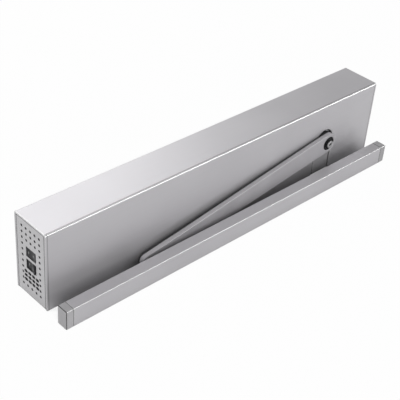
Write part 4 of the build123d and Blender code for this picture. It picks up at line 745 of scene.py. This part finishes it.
# Painted highlight: rounded edges are painted near white and metallic.
rounded = add_node(tree, "ShaderNodeGroup", node_tree=rounding)
paint_over(anodised, rounded.outputs["Mask"], (0.93, 0.93, 0.93), metallic=1.0, roughness=0.3)
axes = split_axes(tree, "Object")
facing = split_axes(tree, "Normal")
end_reach = calculate(tree, "ABSOLUTE", axes["X"])
# Painted shade: thin dark lines on the top beside its edge and down the face near each end.
top_line, face_line, line_share = -0.0321, 0.3392, 0.5
for reach, line, half_width, side, share in (
    (axes["Y"], top_line, 0.0007, facing["Z"], line_share),
    (end_reach, face_line, 0.0006, facing["Y"], -line_share),
):
    painted_shade_line = calculate(tree, "COMPARE", reach, line, half_width)
    faced = calculate(tree, "MULTIPLY", side, share, use_clamp=True)
    paint_over(anodised, calculate(tree, "MULTIPLY", painted_shade_line, faced), (0.12, 0.12, 0.12))
# Painted highlight: the top wall's cut ends are painted pale.
top_end, top_level = 0.3416, 0.1275
end_edge = calculate(tree, "GREATER_THAN", end_reach, top_end)
on_top = calculate(tree, "GREATER_THAN", axes["Z"], top_level)
painted_highlight_end = calculate(tree, "MULTIPLY", end_edge, on_top)
paint_over(anodised, painted_highlight_end, (0.86, 0.86, 0.86), metallic=0.7, roughness=0.4)
dress(anodised, "cover_hood", "guide_track")

# Drive arm: forged steel bar in silver paint, clamped on the spindle's square.
# The paint has a fine metallic grain, and the bar's edges are paler, partly rubbed thin and partly
# a painted highlight.
# The back of the bar with a strip of its sides, and the hub, which reaches in through the cover,
# are painted near black as shade.
arm_paint = finish(
    "silver_arm_paint",
    tones=((0.485, 0.475, 0.495), (0.565, 0.555, 0.575)),
    roughness=(0.44, 0.54),
    metallic=0.4,
    grain=(speckle, {"Fineness": 2600.0, "Detail": 3.0}),
    relief=0.00001,
    edge=(0.0007, (0.66, 0.655, 0.66)),
    cloud=25.0,
)
tree = arm_paint.node_tree
axes = split_axes(tree, "Object")
# Painted shade: all behind a line near the bar's back is painted near black, as a contact shadow.
elbow_x, hub_x = -0.11224, 0.19404
back_at_elbow, back_at_hub = -0.0450, -0.0391
back = rescale(tree, axes["X"], elbow_x, hub_x, back_at_elbow, back_at_hub)
painted_contact_shade = calculate(tree, "GREATER_THAN", axes["Y"], back)
paint_over(arm_paint, painted_contact_shade, (0.03, 0.03, 0.031), metallic=0.0)
dress(arm_paint, "drive_arm")

# Arm fastening: a blackened washer sunk in the hub under a bright socket screw,
# and the riveted steel pin at the arm's other end.
screw_tones = ((0.46, 0.46, 0.46), (0.60, 0.60, 0.60))
dress(turned_steel("blackened_washer", spindle_axis, black_tones, (0.30, 0.42)), "hub_washer")
dress(turned_steel("bright_socket_screw", spindle_axis, screw_tones, (0.22, 0.34)), "hub_screw")
pin_axis = (-0.17724, 0.0, 0.0145)
dress(turned_steel("riveted_pin_steel", pin_axis, machined_tones, (0.24, 0.38)), "block_pin")

# Slide block: dark low-friction plastic that runs in the track on the arm's pin.
# Its faces are smooth from sliding, with a little track dust in the grain.
slider = finish(
    "dark_sliding_plastic",
    tones=((0.030, 0.030, 0.033), (0.052, 0.052, 0.055)),
    roughness=(0.30, 0.44),
    metallic=0.0,
    grain=(long_grain, {"Stretch": (60.0, 1800.0, 1800.0)}),
    relief=0.00001,
    edge=(0.0004, (0.10, 0.10, 0.105)),
    cloud=130.0,
)
dress(slider, "slide_block")
